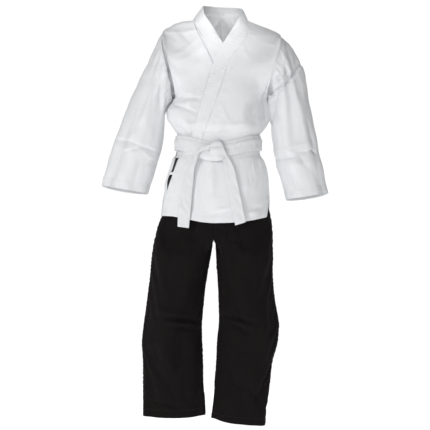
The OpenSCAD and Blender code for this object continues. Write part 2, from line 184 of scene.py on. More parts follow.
def body_point(angle, z, inset=0):
    """A point of the jacket's body, inset from its outer face."""
    angle, z, inset = np.broadcast_arrays(*(np.asarray(v, float) for v in (angle, z, inset)))
    x_l, x_r, c = body_l(z), body_r(z), bend(cosd(angle))
    back = sind(angle) > 0
    hole = np.where(c > 0, hole_depth(z, SHOULDER_L[1], UNDERARM_L[1]),
                    hole_depth(z, SHOULDER_R[1], UNDERARM_R[1]))
    side = ARMHOLE_DEPTH * (hole / ARMHOLE_DEPTH) ** (1 + 5 * (1 - c ** 8))
    w = (hole / ARMHOLE_DEPTH) ** 6
    depth = np.where(back, body_b(z), body_f(z)) - inset
    side = side - inset * w
    shape = (1 - w) * bend(np.abs(sind(angle))) + w * (1 - c * c)
    drop = HEM_DROP * np.abs(sind(angle)) ** np.where(c < 0, 6, 2) * ease((-z - 570) / (-HEM_Z - 570))
    mid = body_mid(z)
    x = mid + (np.where(c > 0, x_l - mid, mid - x_r) - inset * (1 - w)) * c
    return np.stack([x, np.where(back, 1, -1) * (side + (depth - side) * shape), z - drop], -1)


def tuck_at(x, z):
    """How far the under front lies below the outer front."""
    return TUCK * ease((x - outer_free(z) + 45) / 40)


def normals(p):
    """Unit normals of a grid of points."""
    du, dv = np.gradient(p, axis=1), np.gradient(p, axis=0)
    n = np.cross(du, dv)
    return n / np.maximum(np.linalg.norm(n, axis=-1, keepdims=True), 1e-9)


def arc(p, axis):
    """Distance run along a grid from its first row or column."""
    step = np.linalg.norm(np.diff(p, axis=axis), axis=-1)
    pad = [(0, 0), (0, 0)]
    pad[axis] = (1, 0)
    return np.pad(np.cumsum(step, axis=axis), pad)


# ---------------------------------------------------------------- folds
def fold(x, z, start, end, width, height, side=0.0):
    """Height of one soft fold that runs from start to end; side leans it into a step."""
    a, b = np.array(start, float), np.array(end, float)
    run = b - a
    length = np.hypot(*run)
    along = ((x - a[0]) * run[0] + (z - a[1]) * run[1]) / length
    across = ((x - a[0]) * -run[1] + (z - a[1]) * run[0]) / length / width
    t = np.clip(along / length, 0, 1)
    beyond = np.maximum(np.maximum(-along, along - length), 0) / (1.5 * width)
    swell = np.sin(np.pi * (0.12 + 0.76 * t)) * np.exp(-beyond ** 2)
    crest = np.exp(-(across ** 2 + 0.01) ** 0.8)
    return height * swell * crest * (1 - 1.6 * side * across)


def folds(x, z, rows):
    """Height of many folds. Each row is start and end (X, Z), width, height and, if it leans, how far."""
    total = np.zeros_like(x)
    for row in rows:
        total += fold(x, z, *row)
    return total


def ripple(u, v, seed, size, height):
    """Gentle unevenness: a few fixed waves crossing each other."""
    rng = np.random.default_rng(seed)
    total = np.zeros_like(u)
    for _ in range(7):
        turn, phase = rng.uniform(0, math.pi), rng.uniform(0, 2 * math.pi)
        pitch = size * rng.uniform(0.6, 1.7)
        total += np.sin((u * math.cos(turn) + v * math.sin(turn)) * 2 * math.pi / pitch + phase)
    return total * height / 3


# ---------------------------------------------------------------- meshes
def linked(name, data):
    """A new object of the scene."""
    made = bpy.data.objects.new(name, data)
    bpy.context.scene.collection.objects.link(made)
    return made


def smooth_piece(name, mesh, flat, material):
    """A piece made of a smooth mesh, with its weave laid out by flat."""
    layer = mesh.uv_layers.new(name="cloth")
    layer.data.foreach_set("uv", flat.reshape(-1).astype(np.float32))
    mesh.polygons.foreach_set("use_smooth", [True] * len(mesh.polygons))
    mesh.materials.append(material)
    mesh.update()
    return linked(name, mesh)


def grid_mesh(name, p, material, wrap=False, uv=None, thick=CLOTH, inward=1, keep=None):
    """A sheet of cloth through a grid of points in millimetres, with real thickness."""
    rows, cols = p.shape[:2]
    u = arc(p, 1) if uv is None else uv[0]
    v = arc(p, 0) if uv is None else uv[1]
    verts = p.reshape(-1, 3) / 1000
    r, c = np.meshgrid(np.arange(rows - 1), np.arange(cols if wrap else cols - 1), indexing="ij")
    c2 = (c + 1) % cols
    quads = np.stack([r * cols + c, r * cols + c2, (r + 1) * cols + c2, (r + 1) * cols + c], -1)
    quads = quads.reshape(-1, 4)
    r, c = r.reshape(-1), c.reshape(-1)
    if inward < 0:
        quads = quads[:, ::-1]
    if keep is not None:
        quads, r, c = quads[keep.reshape(-1)], r[keep.reshape(-1)], c[keep.reshape(-1)]
    used, quads = np.unique(quads, return_inverse=True)
    quads = quads.reshape(-1, 4)
    mesh = bpy.data.meshes.new(name)
    mesh.from_pydata(verts[used].tolist(), [], quads.tolist())
    flat_u, flat_v = u.reshape(-1)[used] / 1000, v.reshape(-1)[used] / 1000
    loop_u, loop_v = flat_u[quads].copy(), flat_v[quads]
    if wrap:
        closing = np.linalg.norm(p[:, 0] - p[:, -1], axis=-1)[r] / 1000
        turn_end = (c == cols - 1)[:, None] & (used[quads] % cols == 0)
        loop_u = np.where(turn_end, u[r, -1][:, None] / 1000 + closing[:, None], loop_u)
    piece = smooth_piece(name, mesh, np.stack([loop_u, loop_v], -1), material)
    if thick:
        solid = piece.modifiers.new("thickness", "SOLIDIFY")
        solid.thickness = thick / 1000
        solid.offset = -1
        solid.use_even_offset = False
    return piece


# ---------------------------------------------------------------- materials
def new_material(name, color, rough):
    mat = bpy.data.materials.new(name)
    mat.use_nodes = True
    shader = mat.node_tree.nodes["Principled BSDF"]
    shader.inputs["Base Color"].default_value = (*color, 1)
    shader.inputs["Roughness"].default_value = rough
    return mat, shader


def node_maker(mat):
    """Functions that feed a socket, add a node with its values, and add a calculation, in a material."""
    nodes, links = mat.node_tree.nodes, mat.node_tree.links

    def feed(socket, value):
        if isinstance(value, bpy.types.NodeSocket):
            links.new(value, socket)
        else:
            socket.default_value = value

    def add(kind, **values):
        node = nodes.new("ShaderNode" + kind)
        for name, value in values.items():
            feed(node.inputs[name], value)
        return node

    def calc(operation, *terms):
        node = add("Math")
        node.operation = operation
        for socket, value in zip(node.inputs, terms):
            feed(socket, value)
        return node.outputs[0]
    return feed, add, calc


def cotton(name, color, dark, threads, depth, rough=0.88, sheen=0.12, mottle=45.0, twill=True, gloss=0.2):
    """Woven cotton: threads per metre, the weave's depth in millimetres, uneven colour from the yarn's slub
    with painted shade in the weave's hollows, and soft sheen.

    Twill has a raised diagonal; any other weave is plain."""
    mat, shader = new_material(name, color, rough)
    shader.inputs["Sheen Weight"].default_value = sheen
    shader.inputs["Sheen Roughness"].default_value = 0.5
    shader.inputs["Specular IOR Level"].default_value = gloss
    feed, add, calc = node_maker(mat)
    coords = add("UVMap")
    coords.uv_map = "cloth"
    place = coords.outputs[0]
    split = add("SeparateXYZ", Vector=place)
    turn = 2 * math.pi * threads
    u = calc("MULTIPLY", split.outputs[0], turn)
    v = calc("MULTIPLY", split.outputs[1], turn)
    crossing = calc("MULTIPLY", calc("SINE", u), calc("SINE", v))
    if twill:
        diagonal = calc("SINE", calc("MULTIPLY", calc("ADD", u, v), 0.5))
        weave = calc("ADD", diagonal, calc("MULTIPLY", crossing, 0.5))
    else:
        weave = crossing
    stretch = add("Mapping", Vector=place, Scale=(1, 0.2, 1))
    slub = add("TexNoise", Vector=stretch.outputs[0], Scale=mottle, Detail=4).outputs[0]
    crumple = add("TexNoise", Vector=place, Scale=28, Detail=5).outputs[0]
    # colour: the yarn's uneven slub, plus painted shade that makes the weave's hollows darker and its crests
    # lighter
    slub_and_weave_shade = calc("ADD", calc("MULTIPLY", slub, 0.9), calc("MULTIPLY", weave, 0.12))
    mix = add("Mix")
    mix.data_type = "RGBA"
    for socket, value in ((0, calc("MINIMUM", slub_and_weave_shade, 1.0)), (6, (*dark, 1)), (7, (*color, 1))):
        feed(mix.inputs[socket], value)
    feed(shader.inputs["Base Color"], mix.outputs[2])
    feed(shader.inputs["Roughness"], calc("ADD", calc("MULTIPLY", slub, 0.14), rough - 0.08))
    fine = add("Bump", Distance=depth / 1000, Strength=0.7, Height=weave)
    soft = add("Bump", Distance=0.0016, Strength=0.5, Height=crumple, Normal=fine.outputs[0])
    feed(shader.inputs["Normal"], soft.outputs[0])
    return mat


white_cotton = cotton("white cotton twill", (0.86, 0.868, 0.883), (0.80, 0.81, 0.826), 900, 0.16)
# the collar band's cotton is a brighter copy of the white cotton: painted light, so the band looks more lit
# than the chest
collar_cotton_painted_light = cotton("collar cotton painted brighter", (0.9, 0.907, 0.92), (0.85, 0.858, 0.872), 900, 0.2)
belt_cotton = cotton("belt cotton", (0.85, 0.858, 0.872), (0.78, 0.79, 0.805), 700, 0.22, twill=False)
black_cotton = cotton("black cotton twill", (0.0105, 0.0085, 0.0082), (0.0055, 0.0048, 0.0048), 900, 0.16,
                      rough=0.85, sheen=0.015, gloss=0.08)
white_thread = cotton("white thread", (0.84, 0.85, 0.88), (0.70, 0.71, 0.74), 2500, 0.05,
                      rough=0.6, twill=False)
black_thread = cotton("black thread", (0.02, 0.018, 0.018), (0.01, 0.01, 0.01), 2500, 0.05,
                      rough=0.6, twill=False)
elastic_web = cotton("elastic web", (0.02, 0.02, 0.02), (0.01, 0.01, 0.01), 600, 0.3, twill=False)


# ---------------------------------------------------------------- drape
DRAPE_FRAMES = 16
DRAPE_STEP = 2
TALLEST_WRINKLE = 9.0
# how much too large the cloth is, as a share of its length
FRONT_EASE, BACK_EASE, SLEEVE_EASE, LEG_EASE = 0.006, 0.014, 0.016, 0.022


def resampled(values, rows, cols):
    """A coarse grid of values brought up to rows by cols, smoothly."""
    r, c = np.linspace(0, values.shape[0] - 1, rows), np.linspace(0, values.shape[1] - 1, cols)

    def along(v, q):
        k = np.clip(np.floor(q).astype(int), 0, len(v) - 2)
        t = (q - k)[:, None]
        a, b, c, d = v[np.maximum(k - 1, 0)], v[k], v[k + 1], v[np.minimum(k + 2, len(v) - 1)]
        return b + 0.5 * t * (c - a + t * (2 * a - 5 * b + 4 * c - d + t * (3 * (b - c) + d - a)))
    return along(along(values, r).T, c).T


def drape(p, n, hold, growth, wrap=False):
    """Heights of the wrinkles of cloth that is too large by growth, held where hold is 1, free where it is 0.

    The simulation runs on every second row and column."""
    rows = np.unique(np.r_[0:p.shape[0]:DRAPE_STEP, p.shape[0] - 1])
    cols = np.arange(0, p.shape[1], DRAPE_STEP)
    if not wrap:
        cols = np.unique(np.r_[cols, p.shape[1] - 1])
    coarse, up, held = p[np.ix_(rows, cols)], n[np.ix_(rows, cols)], hold[np.ix_(rows, cols)]
    piece = grid_mesh("drape", coarse, white_cotton, wrap=wrap, thick=0)
    group = piece.vertex_groups.new(name="held")
    for i, w in enumerate(np.clip(held.reshape(-1), 0, 1)):
        group.add([i], float(w), "REPLACE")
    cloth = piece.modifiers.new("cloth", "CLOTH")
    values = cloth.settings
    values.quality = 5
    values.mass = 0.3
    values.tension_stiffness = 25
    values.compression_stiffness = 25
    values.shear_stiffness = 8
    values.bending_stiffness = 1.4
    values.tension_damping = 12
    values.vertex_group_mass = "held"
    values.pin_stiffness = 0.35
    values.shrink_min = -growth
    values.effector_weights.gravity = 0.15
    cloth.collision_settings.use_collision = False
    cloth.point_cache.frame_end = DRAPE_FRAMES
    scene = bpy.context.scene
    for frame_number in range(1, DRAPE_FRAMES + 1):
        scene.frame_set(frame_number)
    shown = piece.evaluated_get(bpy.context.evaluated_depsgraph_get()).to_mesh()
    at = np.zeros(len(shown.vertices) * 3, np.float32)
    shown.vertices.foreach_get("co", at)
    moved = at.reshape(coarse.shape).astype(float) * 1000 - coarse
    scene.frame_set(1)
    mesh = piece.data
    bpy.data.objects.remove(piece)
    bpy.data.meshes.remove(mesh)
    lift = (moved * up).sum(-1)
    lift = TALLEST_WRINKLE * np.tanh(lift / TALLEST_WRINKLE)
    if wrap:
        lift = np.concatenate([lift, lift[:, :1]], axis=1)
        return resampled(lift, p.shape[0], p.shape[1] + 1)[:, :-1]
    return resampled(lift, *p.shape[:2])


# ---------------------------------------------------------------- jacket body
def facing(p, out):
    """Normals of a grid, turned outwards: out is a direction, or None for away from the row's middle."""
    n = normals(p)
    away = p - p.mean(axis=1, keepdims=True) if out is None else np.array(out, float)
    return n if (n * away).sum(-1).mean() > 0 else -n


def closed(p):
    """A ring of columns with its last column before it and its first one after it."""
    return np.concatenate([p[:, -1:], p, p[:, :1]], axis=1)


def winding(p, n):
    """1 where a grid's quads face along its normals, -1 where they face the other way."""
    cross = np.cross(np.diff(p, axis=1)[:-1], np.diff(p, axis=0)[:, :-1])
    return 1 if (cross * n[:-1, :-1]).sum(-1).mean() > 0 else -1


def cloth_piece(name, p, height, out, material, wrap=False, thick=CLOTH, from_last=False):
    """A piece of cloth whose grid is raised by height along its outward normals.

    The weave is laid out from the first column, or from the last one."""
    n = facing(closed(p), out)[:, 1:-1] if wrap else facing(p, out)
    p = p + n * height[..., None]
    u = arc(p, 1)
    weave = (u - u[:, -1:], arc(p, 0)) if from_last else None
    piece = grid_mesh(name, p, material, wrap=wrap, uv=weave, thick=thick, inward=winding(p, n))
    return piece, p, n


def mount(piece, nodes=(), body=None, across=None):
    """Puts a piece on its body, or bakes in the place of a piece that spans the joint between two."""
    if across:
        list(across)
        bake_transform(piece)
    else:
        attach(piece, body)
    if nodes:
        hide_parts(*nodes)


def metres(point):
    return tuple(v / 1000 for v in point)


def edge_fade(shape, top=0, low=0, first=0, last=0):
    """1 inside a grid and 0 at the edges that have to stay put, fading over that many rows or columns."""
    r, c = np.meshgrid(np.arange(shape[0]), np.arange(shape[1]), indexing="ij")
    fade = np.ones(shape)
    for at, reach in ((r, top), (shape[0] - 1 - r, low), (c, first), (shape[1] - 1 - c, last)):
        if reach:
            fade *= ease(at / reach)
    return fade


BODY_Z = np.concatenate([np.linspace(-1, -60, 22), np.linspace(-63, HEM_Z, 190)])
FRONT_COLS, BACK_COLS = 120, 110
HEM_SEAMS = (20.5, 3)

CHEST_FOLDS = [
    ((-128, -40), (-92, -82), 13, -4), ((-160, -30), (-120, -70), 12, 3),
    ((-143, -256), (-58, -268), 6, -5, 0.6), ((-160, -281), (-72, -315), 7, -4.5, 0.6),
    ((-150, -268), (-80, -285), 12, 3), ((-143, -355), (-104, -388), 8, -5, 0.5),
    ((-126, -330), (-80, -372), 11, 4), ((-110, -200), (-70, -320), 26, 3),
    ((-60, -150), (-62, -240), 22, -2), ((-132, -90), (-118, -230), 24, 3),
    ((100, -168), (20, -214), 11, -3, 0.5), ((54, -224), (-27, -252), 10, -4, 0.6),
    ((44, -262), (-38, -300), 10, -4, 0.6), ((22, -414), (60, -397), 7, -7, 0.5),
    ((60, -396), (112, -392), 8, -5, 0.5), ((24, -402), (70, -382), 8, 6), ((-30, -415), (25, -352), 9, 3),
    ((48, -408), (128, -380), 8, -4, 0.4), ((64, -392), (140, -356), 10, 4),
    ((90, -330), (150, -300), 18, -3), ((-96, -400), (-60, -340), 12, 3)]
# where the left chest steps back towards the arm, by height
side_step = curve([(-400, 86), (-350, 80), (-331, 79), (-297, 83), (-263, 113), (-240, 145), (-225, 168)])
SKIRT_FOLDS = [
    ((-80, -496), (-94, -672), 3.5, -8), ((36, -466), (62, -530), 6, -9.6),
    ((62, -526), (98, -676), 9, -9.6), ((128, -462), (137, -522), 6, -6.4),
    ((140, -462), (148, -520), 7, 3), ((118, -462), (122, -515), 6, 4.8),
    ((128, -476), (66, -532), 9, -10, 0.5), ((150, -505), (136, -580), 8, -6.4),
    ((126, -540), (70, -585), 18, 4.8), ((150, -585), (96, -636), 13, -6.4, 0.5),
    ((140, -652), (88, -660), 8, 8), ((148, -636), (84, -645), 7, -6.4),
    ((48, -652), (-22, -663), 6, -6.4, 0.7), ((40, -640), (-15, -652), 8, 4.8),
    ((-20, -480), (-12, -620), 15, 4.8), ((28, -490), (36, -600), 13, -4),
    ((-52, -480), (-62, -660), 12, -4), ((-100, -490), (-130, -600), 13, 4.8),
    ((-84, -500), (-104, -640), 9, -4), ((64, -500), (92, -640), 14, 6.4)]
BACK_FOLDS = [
    ((-150, -230), (-70, -330), 24, -7, 0.5), ((160, -230), (80, -330), 24, -7, 0.5),
    ((-60, -120), (-45, -330), 26, 4), ((70, -120), (55, -330), 26, 4), ((0, -150), (5, -360), 24, -3),
    ((-110, -300), (-60, -385), 15, 4), ((120, -300), (70, -385), 15, 4),
    ((-30, -340), (-20, -392), 10, -3), ((40, -340), (30, -392), 10, -3), ((0, -345), (4, -392), 8, 3),
    ((-120, -465), (-128, -560), 9, -3.5), ((-90, -465), (-100, -600), 11, 3.5),
    ((-50, -465), (-58, -590), 10, -3), ((-10, -465), (-12, -640), 14, 3), ((32, -465), (38, -580), 10, -3),
    ((74, -465), (86, -610), 12, 3.5), ((112, -465), (124, -570), 9, -3.5)]


def body_height(p, rows, seed):
    """Folds and unevenness of a jacket panel, quiet under the belt."""
    x, z = p[..., 0], p[..., 2]
    cinch = 1 - 0.9 * ease((z + 478) / 16) * ease((-z - 378) / 16)
    return (folds(x, z, rows) + ripple(x, z, seed, 90, 1.3) + ripple(x, z, seed + 1, 34, 0.45)) * cinch


def body_hold(p, first, last):
    """How firmly a jacket panel is held: at its seams, under the belt, and a little everywhere.

    first and last are how many columns the hold of each side seam reaches over."""
    r, c = np.meshgrid(np.arange(p.shape[0]), np.arange(p.shape[1]), indexing="ij")
    seams = np.maximum(1 - ease(c / first), 1 - ease((p.shape[1] - 1 - c) / last))
    belt = ease((p[..., 2] + 485) / 14) * ease((-p[..., 2] - 374) / 14)
    hold = np.maximum(np.maximum(seams, belt), 1 - ease(r / 8))
    return 0.04 + 0.96 * hold


def seam_groove(at, width):
    """A narrow groove: 1 at 0, fading over a width."""
    return np.exp(-(at / width) ** 2)


def hem_step(left, deep=22, step=0.7):
    """The doubled cloth of a turned hem, with its edge pressed by a row of stitches."""
    return step * ease((deep - left) / 3) - 0.5 * seam_groove(left - deep + 1.5, 1.2)


def front_grid(side_x, seam, under):
    """A jacket front from its side to its collar seam; the under one is tucked in."""
    start, end = body_angle(side_x(BODY_Z), BODY_Z), body_angle(seam(BODY_Z), BODY_Z)
    t = np.linspace(0, 1, FRONT_COLS)[None, :]
    angle = start[:, None] + (end - start)[:, None] * t
    z = np.broadcast_to(BODY_Z[:, None], angle.shape)
    inset = 0
    if under:
        inset = tuck_at(body_point(angle, z)[..., 0], z) * np.where(z > VENT_Z, ease(t * 14), 1)
    return body_point(angle, z, inset)


def left_side(z):
    """X of the left side of the outer front, a little past the side until the slit."""
    return np.where(z < -600, left_vent_edge(z), body_l(z) + 5)


def right_side(z):
    """X of the right side of the under front; below the slit it ends behind the lapel."""
    return np.where(z < VENT_Z, np.maximum(outer_free(z) + 8, body_r(z)), body_r(z) - 5)


def jacket_front(side, side_x, seam, rows, seed):
    """A jacket front: the left one is outside and the right one under it. Gives its grid and normals."""
    under = side == "right"
    p = front_grid(side_x, seam, under)
    x, z = p[..., 0], p[..., 2]
    height = body_height(p, rows, seed) * edge_fade(p.shape[:2], top=6, first=9, last=7)
    from_seam = np.arange(FRONT_COLS)[::-1][None, :]
    height = height - (6.5 * seam_groove(from_seam - 2, 1.4) if under else 1.4 * seam_groove(from_seam, 1.7))
    height += drape(p, facing(p, (0, -1, 0)), body_hold(p, 18, 10), FRONT_EASE)
    if not under:
        # nothing dips into the under layer, and the chest steps back towards the arm
        height = 0.5 * (height - 1.8 + np.sqrt((height + 1.8) ** 2 + 4))
        stepped = ease((x - side_step(z)) / 55) * ease((-214 - z) / 24) * ease((z + 392) / 50)
        height -= 15 * stepped * edge_fade(p.shape[:2], first=7)
    height += hem_step(z - z[-1:])
    if under:
        # flat where the outer front covers it
        height = np.minimum(height, 1.0 + 9 * ease((outer_free(z) - 6 - x) / 25))
    piece, p, n = cloth_piece(f"jacket_{side}_front", p, height, (0, -1, 0), white_cotton, from_last=True)
    mount(piece, [f"{side}_front_panel"], body="jacket")
    return p, n


panels = {
    "left_front": jacket_front("left", left_side, outer_seam, CHEST_FOLDS + SKIRT_FOLDS, 3),
    "right_front": jacket_front("right", right_side, under_seam, CHEST_FOLDS, 5)}


def back_grid(start):
    """Half of the jacket's back, from the angle of its side to the middle; it rises to the neck."""
    t = np.linspace(0, 1, BACK_COLS)[None, :]
    start = np.broadcast_to(start, BODY_Z.shape)[:, None]
    angle = start + (90 - start) * t
    z = np.broadcast_to(BODY_Z[:, None], angle.shape)
    rise = 24 * ease((z + 40) / 39)
    return body_point(angle, z + rise * ease(sind(angle) / 0.7))


def jacket_back(side, start):
    """Half of the back. Gives its grid and normals."""
    p = back_grid(start)
    height = body_height(p, BACK_FOLDS, 7) * edge_fade(p.shape[:2], top=6, first=9)
    height += drape(p, facing(p, (0, 1, 0)), body_hold(p, 18, 5), BACK_EASE)
    seam_dip = 0.8 * seam_groove(np.arange(p.shape[1])[::-1], 1.6)
    height = height - seam_dip[None, :] + hem_step(p[..., 2] - p[-1:, :, 2])
    piece, p, n = cloth_piece(f"jacket_{side}_back", p, height, (0, 1, 0), white_cotton, from_last=True)
    mount(piece, [f"{side}_back_panel"], body="jacket")
    return p, n


panels["left_back"] = jacket_back("left", 14 * ease((-600 - BODY_Z) / 66))
panels["right_back"] = jacket_back(
    "right", np.where(BODY_Z < VENT_Z, body_angle(vent_edge(BODY_Z), BODY_Z), 180))


# ---------------------------------------------------------------- stitches
SPINDLE = [(0, 1, 2), (0, 2, 3), (4, 2, 1), (4, 3, 2), (0, 5, 1), (0, 3, 5), (4, 1, 5), (4, 5, 3)]


def sampled(at, s, points):
    """Points at distances along a line whose own points lie at the distances s."""
    return np.stack([np.interp(at, s, points[:, k]) for k in range(3)], 1)


def unit(vectors):
    return vectors / np.maximum(np.linalg.norm(vectors, axis=-1, keepdims=True), 1e-9)


def stitches(name, lines, thread, body=None, pitch=3.6, size=(1.25, 0.42, 0.32), across=None, slot=None):
    """Rows of small raised stitches, each a spindle with six corners.

    Each line is (points, normals), and size is half a stitch's length, half its width and its height."""
    verts, faces = [], []
    length, half, high = size
    for points, ups in lines:
        points, ups = np.asarray(points, float), np.asarray(ups, float)
        s = np.concatenate([[0], np.cumsum(np.linalg.norm(np.diff(points, axis=0), axis=1))])
        count = int(s[-1] / pitch)
        at = (np.arange(count) + 0.5) * pitch
        c = sampled(at, s, points)
        d = unit(sampled(at + 0.6, s, points) - c)
        u = sampled(at, s, ups)
        u = unit(u - (u * d).sum(1, keepdims=True) * d)
        w = np.cross(d, u)
        for i in range(count):
            base = len(verts)
            verts += [c[i] - d[i] * length, c[i] + w[i] * half, c[i] + u[i] * high, c[i] - w[i] * half,
                      c[i] + d[i] * length, c[i] - u[i] * high]
            faces += [tuple(base + corner for corner in face) for face in SPINDLE]
    mesh = bpy.data.meshes.new(name)
    mesh.from_pydata((np.array(verts) / 1000).tolist(), [], faces)
    flat = np.array(verts)[np.array(faces).reshape(-1)][:, [0, 2]] / 1000
    piece = smooth_piece(name, mesh, flat, thread)
    if slot is None:
        slot = "trouser_cotton" if thread is black_thread else "jacket_cotton"
    mount(piece, body=body, across=across)


STITCH_LIFT = 0.1


def row_line(p, n, row):
    return p[row] + n[row] * STITCH_LIFT, n[row]


def column_line(p, n, column, lift=STITCH_LIFT, rows=slice(None)):
    return p[rows, column] + n[rows, column] * lift, n[rows, column]


def hem_row(p, up):
    """The row of a panel that lies this far above its hem."""
    return int(np.argmin(np.abs(p[:, p.shape[1] // 2, 2] - p[-1, p.shape[1] // 2, 2] - up)))


# ---------------------------------------------------------------- collar band
def rib_places(ribs):
    """Distance of each rib from the first one, averaged over its points."""
    gap = np.linalg.norm(np.diff(ribs, axis=0), axis=-1).mean(axis=1)
    return np.concatenate([[0], np.cumsum(gap)])


def edge_to_edge(a, b, count):
    """A straight run of points from one edge point to the other."""
    t = np.linspace(0, 1, count)[:, None]
    return np.array(a) * (1 - t) + np.array(b) * t


def loft_rows(ribs, count):
    """Smooth surface through a few ribs, each an equal run of points."""
    ribs = np.array(ribs, float)
    s = rib_places(ribs)
    return between(s, ribs, np.gradient(ribs, s, axis=0), np.linspace(0, s[-1], count))


BAND_Z = np.array([
    -666, -640, -610, -578, -550, -520, -490, -476, -460, -440, -411, -392, -378, -354, -330, -300, -262,
    -225, -190, -160, -136, -110, -84, -64])
BAND_COLS = 43
BAND_ROWS = 620
BAND_WIDTH, BAND_THICK = 45, 3.4
STITCH_ROWS = (0.07, 0.24, 0.41, 0.58, 0.75, 0.93)


def band_rib(z, seam, free, under):
    """A rib of the collar band on the chest, from its seam to its free edge."""
    x = np.linspace(seam(z) + (-2.5 if under else 2.5), free(z), BAND_COLS)
    zz = np.full_like(x, z)
    inset = tuck_at(x, zz) if under else 0 * x
    return body_point(body_angle(x, zz), zz, inset - 1.2)


def band_relief(p):
    """The crown of the collar band, the grooves of its stitch rows and the puckers between them."""
    across = np.linspace(0, 1, BAND_COLS)[None, :]
    along = arc(p, 0)
    crown = 1.1 * (1 - np.abs(2 * across - 1) ** 8)
    grooves = sum(seam_groove((across - t) * BAND_WIDTH, 1.1) for t in STITCH_ROWS)
    drift = 2.4 * np.sin(along / 19) + 1.9 * np.sin(across * 13 + along / 40)
    pucker = 0.8 * np.sin(along * 2 * math.pi / 11 + drift)
    pucker *= 0.3 + 0.7 * ease((p[..., 2] + 420) / 200)
    pucker = pucker * (0.55 + 0.45 * np.sin(along / 27 + 3 * across))
    pucker += ripple(along, across * BAND_WIDTH, 11, 26, 0.4)
    return crown - 0.5 * grooves + pucker * (1 - 0.6 * np.clip(grooves, 0, 1))


def collar_band():
    """One stitched band: up the outer lap, round the neck and down the under lap."""
    outer = [band_rib(z, outer_seam, outer_free, False) for z in BAND_Z]
    neck = [edge_to_edge(seam, free, BAND_COLS) for seam, free in NECK_BAND]
    under = [band_rib(z, under_seam, under_free, True) for z in BAND_Z[::-1]]
    p = loft_rows(outer + neck + under, BAND_ROWS)
    half = BAND_ROWS // 2
    n = normals(p)
    outwards = p[half].mean(0) - np.array([10, 0, 30])
    if (n[half].mean(0) * outwards).sum() < 0:
        n = -n
    p = p + n * band_relief(p)[..., None]
    # the band is drawn in the brighter copy of the cotton, which is painted light
    collar = grid_mesh("jacket_collar_band", p, collar_cotton_painted_light, thick=BAND_THICK, inward=winding(p, n))
    mount(collar, ["collar_band"], body="jacket")
    columns = [int(round(t * (BAND_COLS - 1))) for t in STITCH_ROWS]
    lines = [column_line(p, n, column, 0.15) for column in columns]
    for column in columns:
        points, ups = column_line(p, n, column, -BAND_THICK - 0.15, slice(half - 110, half + 110))
        lines.append((points, -ups))
    stitches("jacket_collar_stitching", lines, white_thread, "jacket", size=(1.25, 0.4, 0.2))


collar_band()


# ---------------------------------------------------------------- sleeves
SLEEVE_COLS = 132
SLEEVE_ROWS = 190
CUFF = 30
CUFF_SEAMS = (6, 14, 22)
CUFF_TOP = -500


def sleeve_ring(row):
    """An elliptic ring through a station's outer and inner point; the cuff's back sags a little."""
    a = np.radians(180 + np.arange(SLEEVE_COLS) * 360 / SLEEVE_COLS)
    outer, inner, depth = np.array(row[0], float), np.array(row[1], float), row[2]
    mid, half = (outer + inner) / 2, (outer - inner) / 2
    sag = 10 * np.maximum(np.sin(a), 0) if outer[1] < CUFF_TOP else 0
    return np.stack([mid[0] + half[0] * np.cos(a), depth * np.sin(a), mid[1] + half[1] * np.cos(a) - sag], -1)


def both_sides(p, n, front, back):
    """Folds of a tube: one list as seen from the front, one from the back."""
    w = ease(0.5 - 2 * n[..., 1])
    return folds(p[..., 0], p[..., 2], front) * w + folds(p[..., 0], p[..., 2], back) * (1 - w)


def sleeve(side, stations, edge, front, back, seed, crease, tucks):
    """A sleeve, with its grid and normals.

    It starts on the body's edge. crease is the depth of the armhole seam by height, and tucks push the front
    cloth straight back, never further than the middle."""
    ribs = [sleeve_ring(row) for row in stations]
    ribs[0][:, 0] = edge(ribs[0][:, 2])
    p = loft_rows(ribs, SLEEVE_ROWS)
    d = arc(p, 0)
    tucked = np.minimum(p[..., 1] + folds(p[..., 0], p[..., 2], tucks) * ease(d / 2.5), -3)
    p[..., 1] = np.where(p[..., 1] < -3, tucked, p[..., 1])
    n = facing(closed(p), None)[:, 1:-1]
    height = both_sides(p, n, front, back) + ripple(d, arc(p, 1), seed, 80, 1.2)
    height = height * ease(d / 26)
    height += drape(p, n, 0.04 + 0.96 * (1 - ease(d / 70)), SLEEVE_EASE, wrap=True)
    height -= crease(p[..., 2]) * seam_groove(d - 7, 4.5) * ease(0.4 - 1.6 * n[..., 1])
    left = d[-1:] - d
    height += hem_step(left, deep=CUFF) - 0.8 * sum(seam_groove(left - k, 1.3) for k in CUFF_SEAMS)
    piece, p, n = cloth_piece(f"jacket_{side}_sleeve", p, height, None, white_cotton, wrap=True)
    mount(piece, [f"{side}_sleeve"], across=armholes[side])
    return p, n


LEFT_SLEEVE_FRONT = [
    ((292, -146), (245, -212), 7, -11, 0.5), ((249, -207), (182, -262), 7, -12, 0.5),
    ((252, -180), (176, -250), 8, 8), ((232, -186), (176, -222), 6, -9, 0.4),
    ((231, -171), (237, -187), 4.5, -8), ((222, -174), (227, -186), 5, 4),
    ((226, -76), (260, -174), 6, -8, -0.5), ((204, -84), (238, -168), 10, 7),
    ((262, -110), (270, -165), 7, -6), ((306, -180), (200, -306), 20, 5),
    ((264, -450), (318, -441), 7, -6, 0.6), ((202, -471), (262, -461), 7, -6, 0.6),
    ((262, -452), (224, -440), 7, 4), ((276, -462), (300, -500), 10, -5), ((318, -441), (336, -452), 6, -6),
    ((303, -340), (334, -440), 9, -5, 0.4), ((230, -330), (262, -440), 20, -4),
    ((215, -436), (322, -420), 12, 4), ((206, -495), (330, -484), 15, 5), ((270, -250), (306, -400), 22, 5),
    ((205, -330), (226, -430), 16, 4), ((250, -510), (290, -580), 16, -4),
    ((320, -500), (350, -580), 14, -4), ((240, -105), (275, -170), 16, 3)]
LEFT_SLEEVE_BACK = [
    ((290, -150), (190, -290), 18, -6, 0.5), ((320, -430), (215, -470), 10, -5, 0.6),
    ((320, -410), (210, -440), 12, 5), ((300, -300), (330, -410), 16, -4),
    ((230, -250), (250, -400), 22, 4), ((330, -490), (250, -500), 12, 4)]
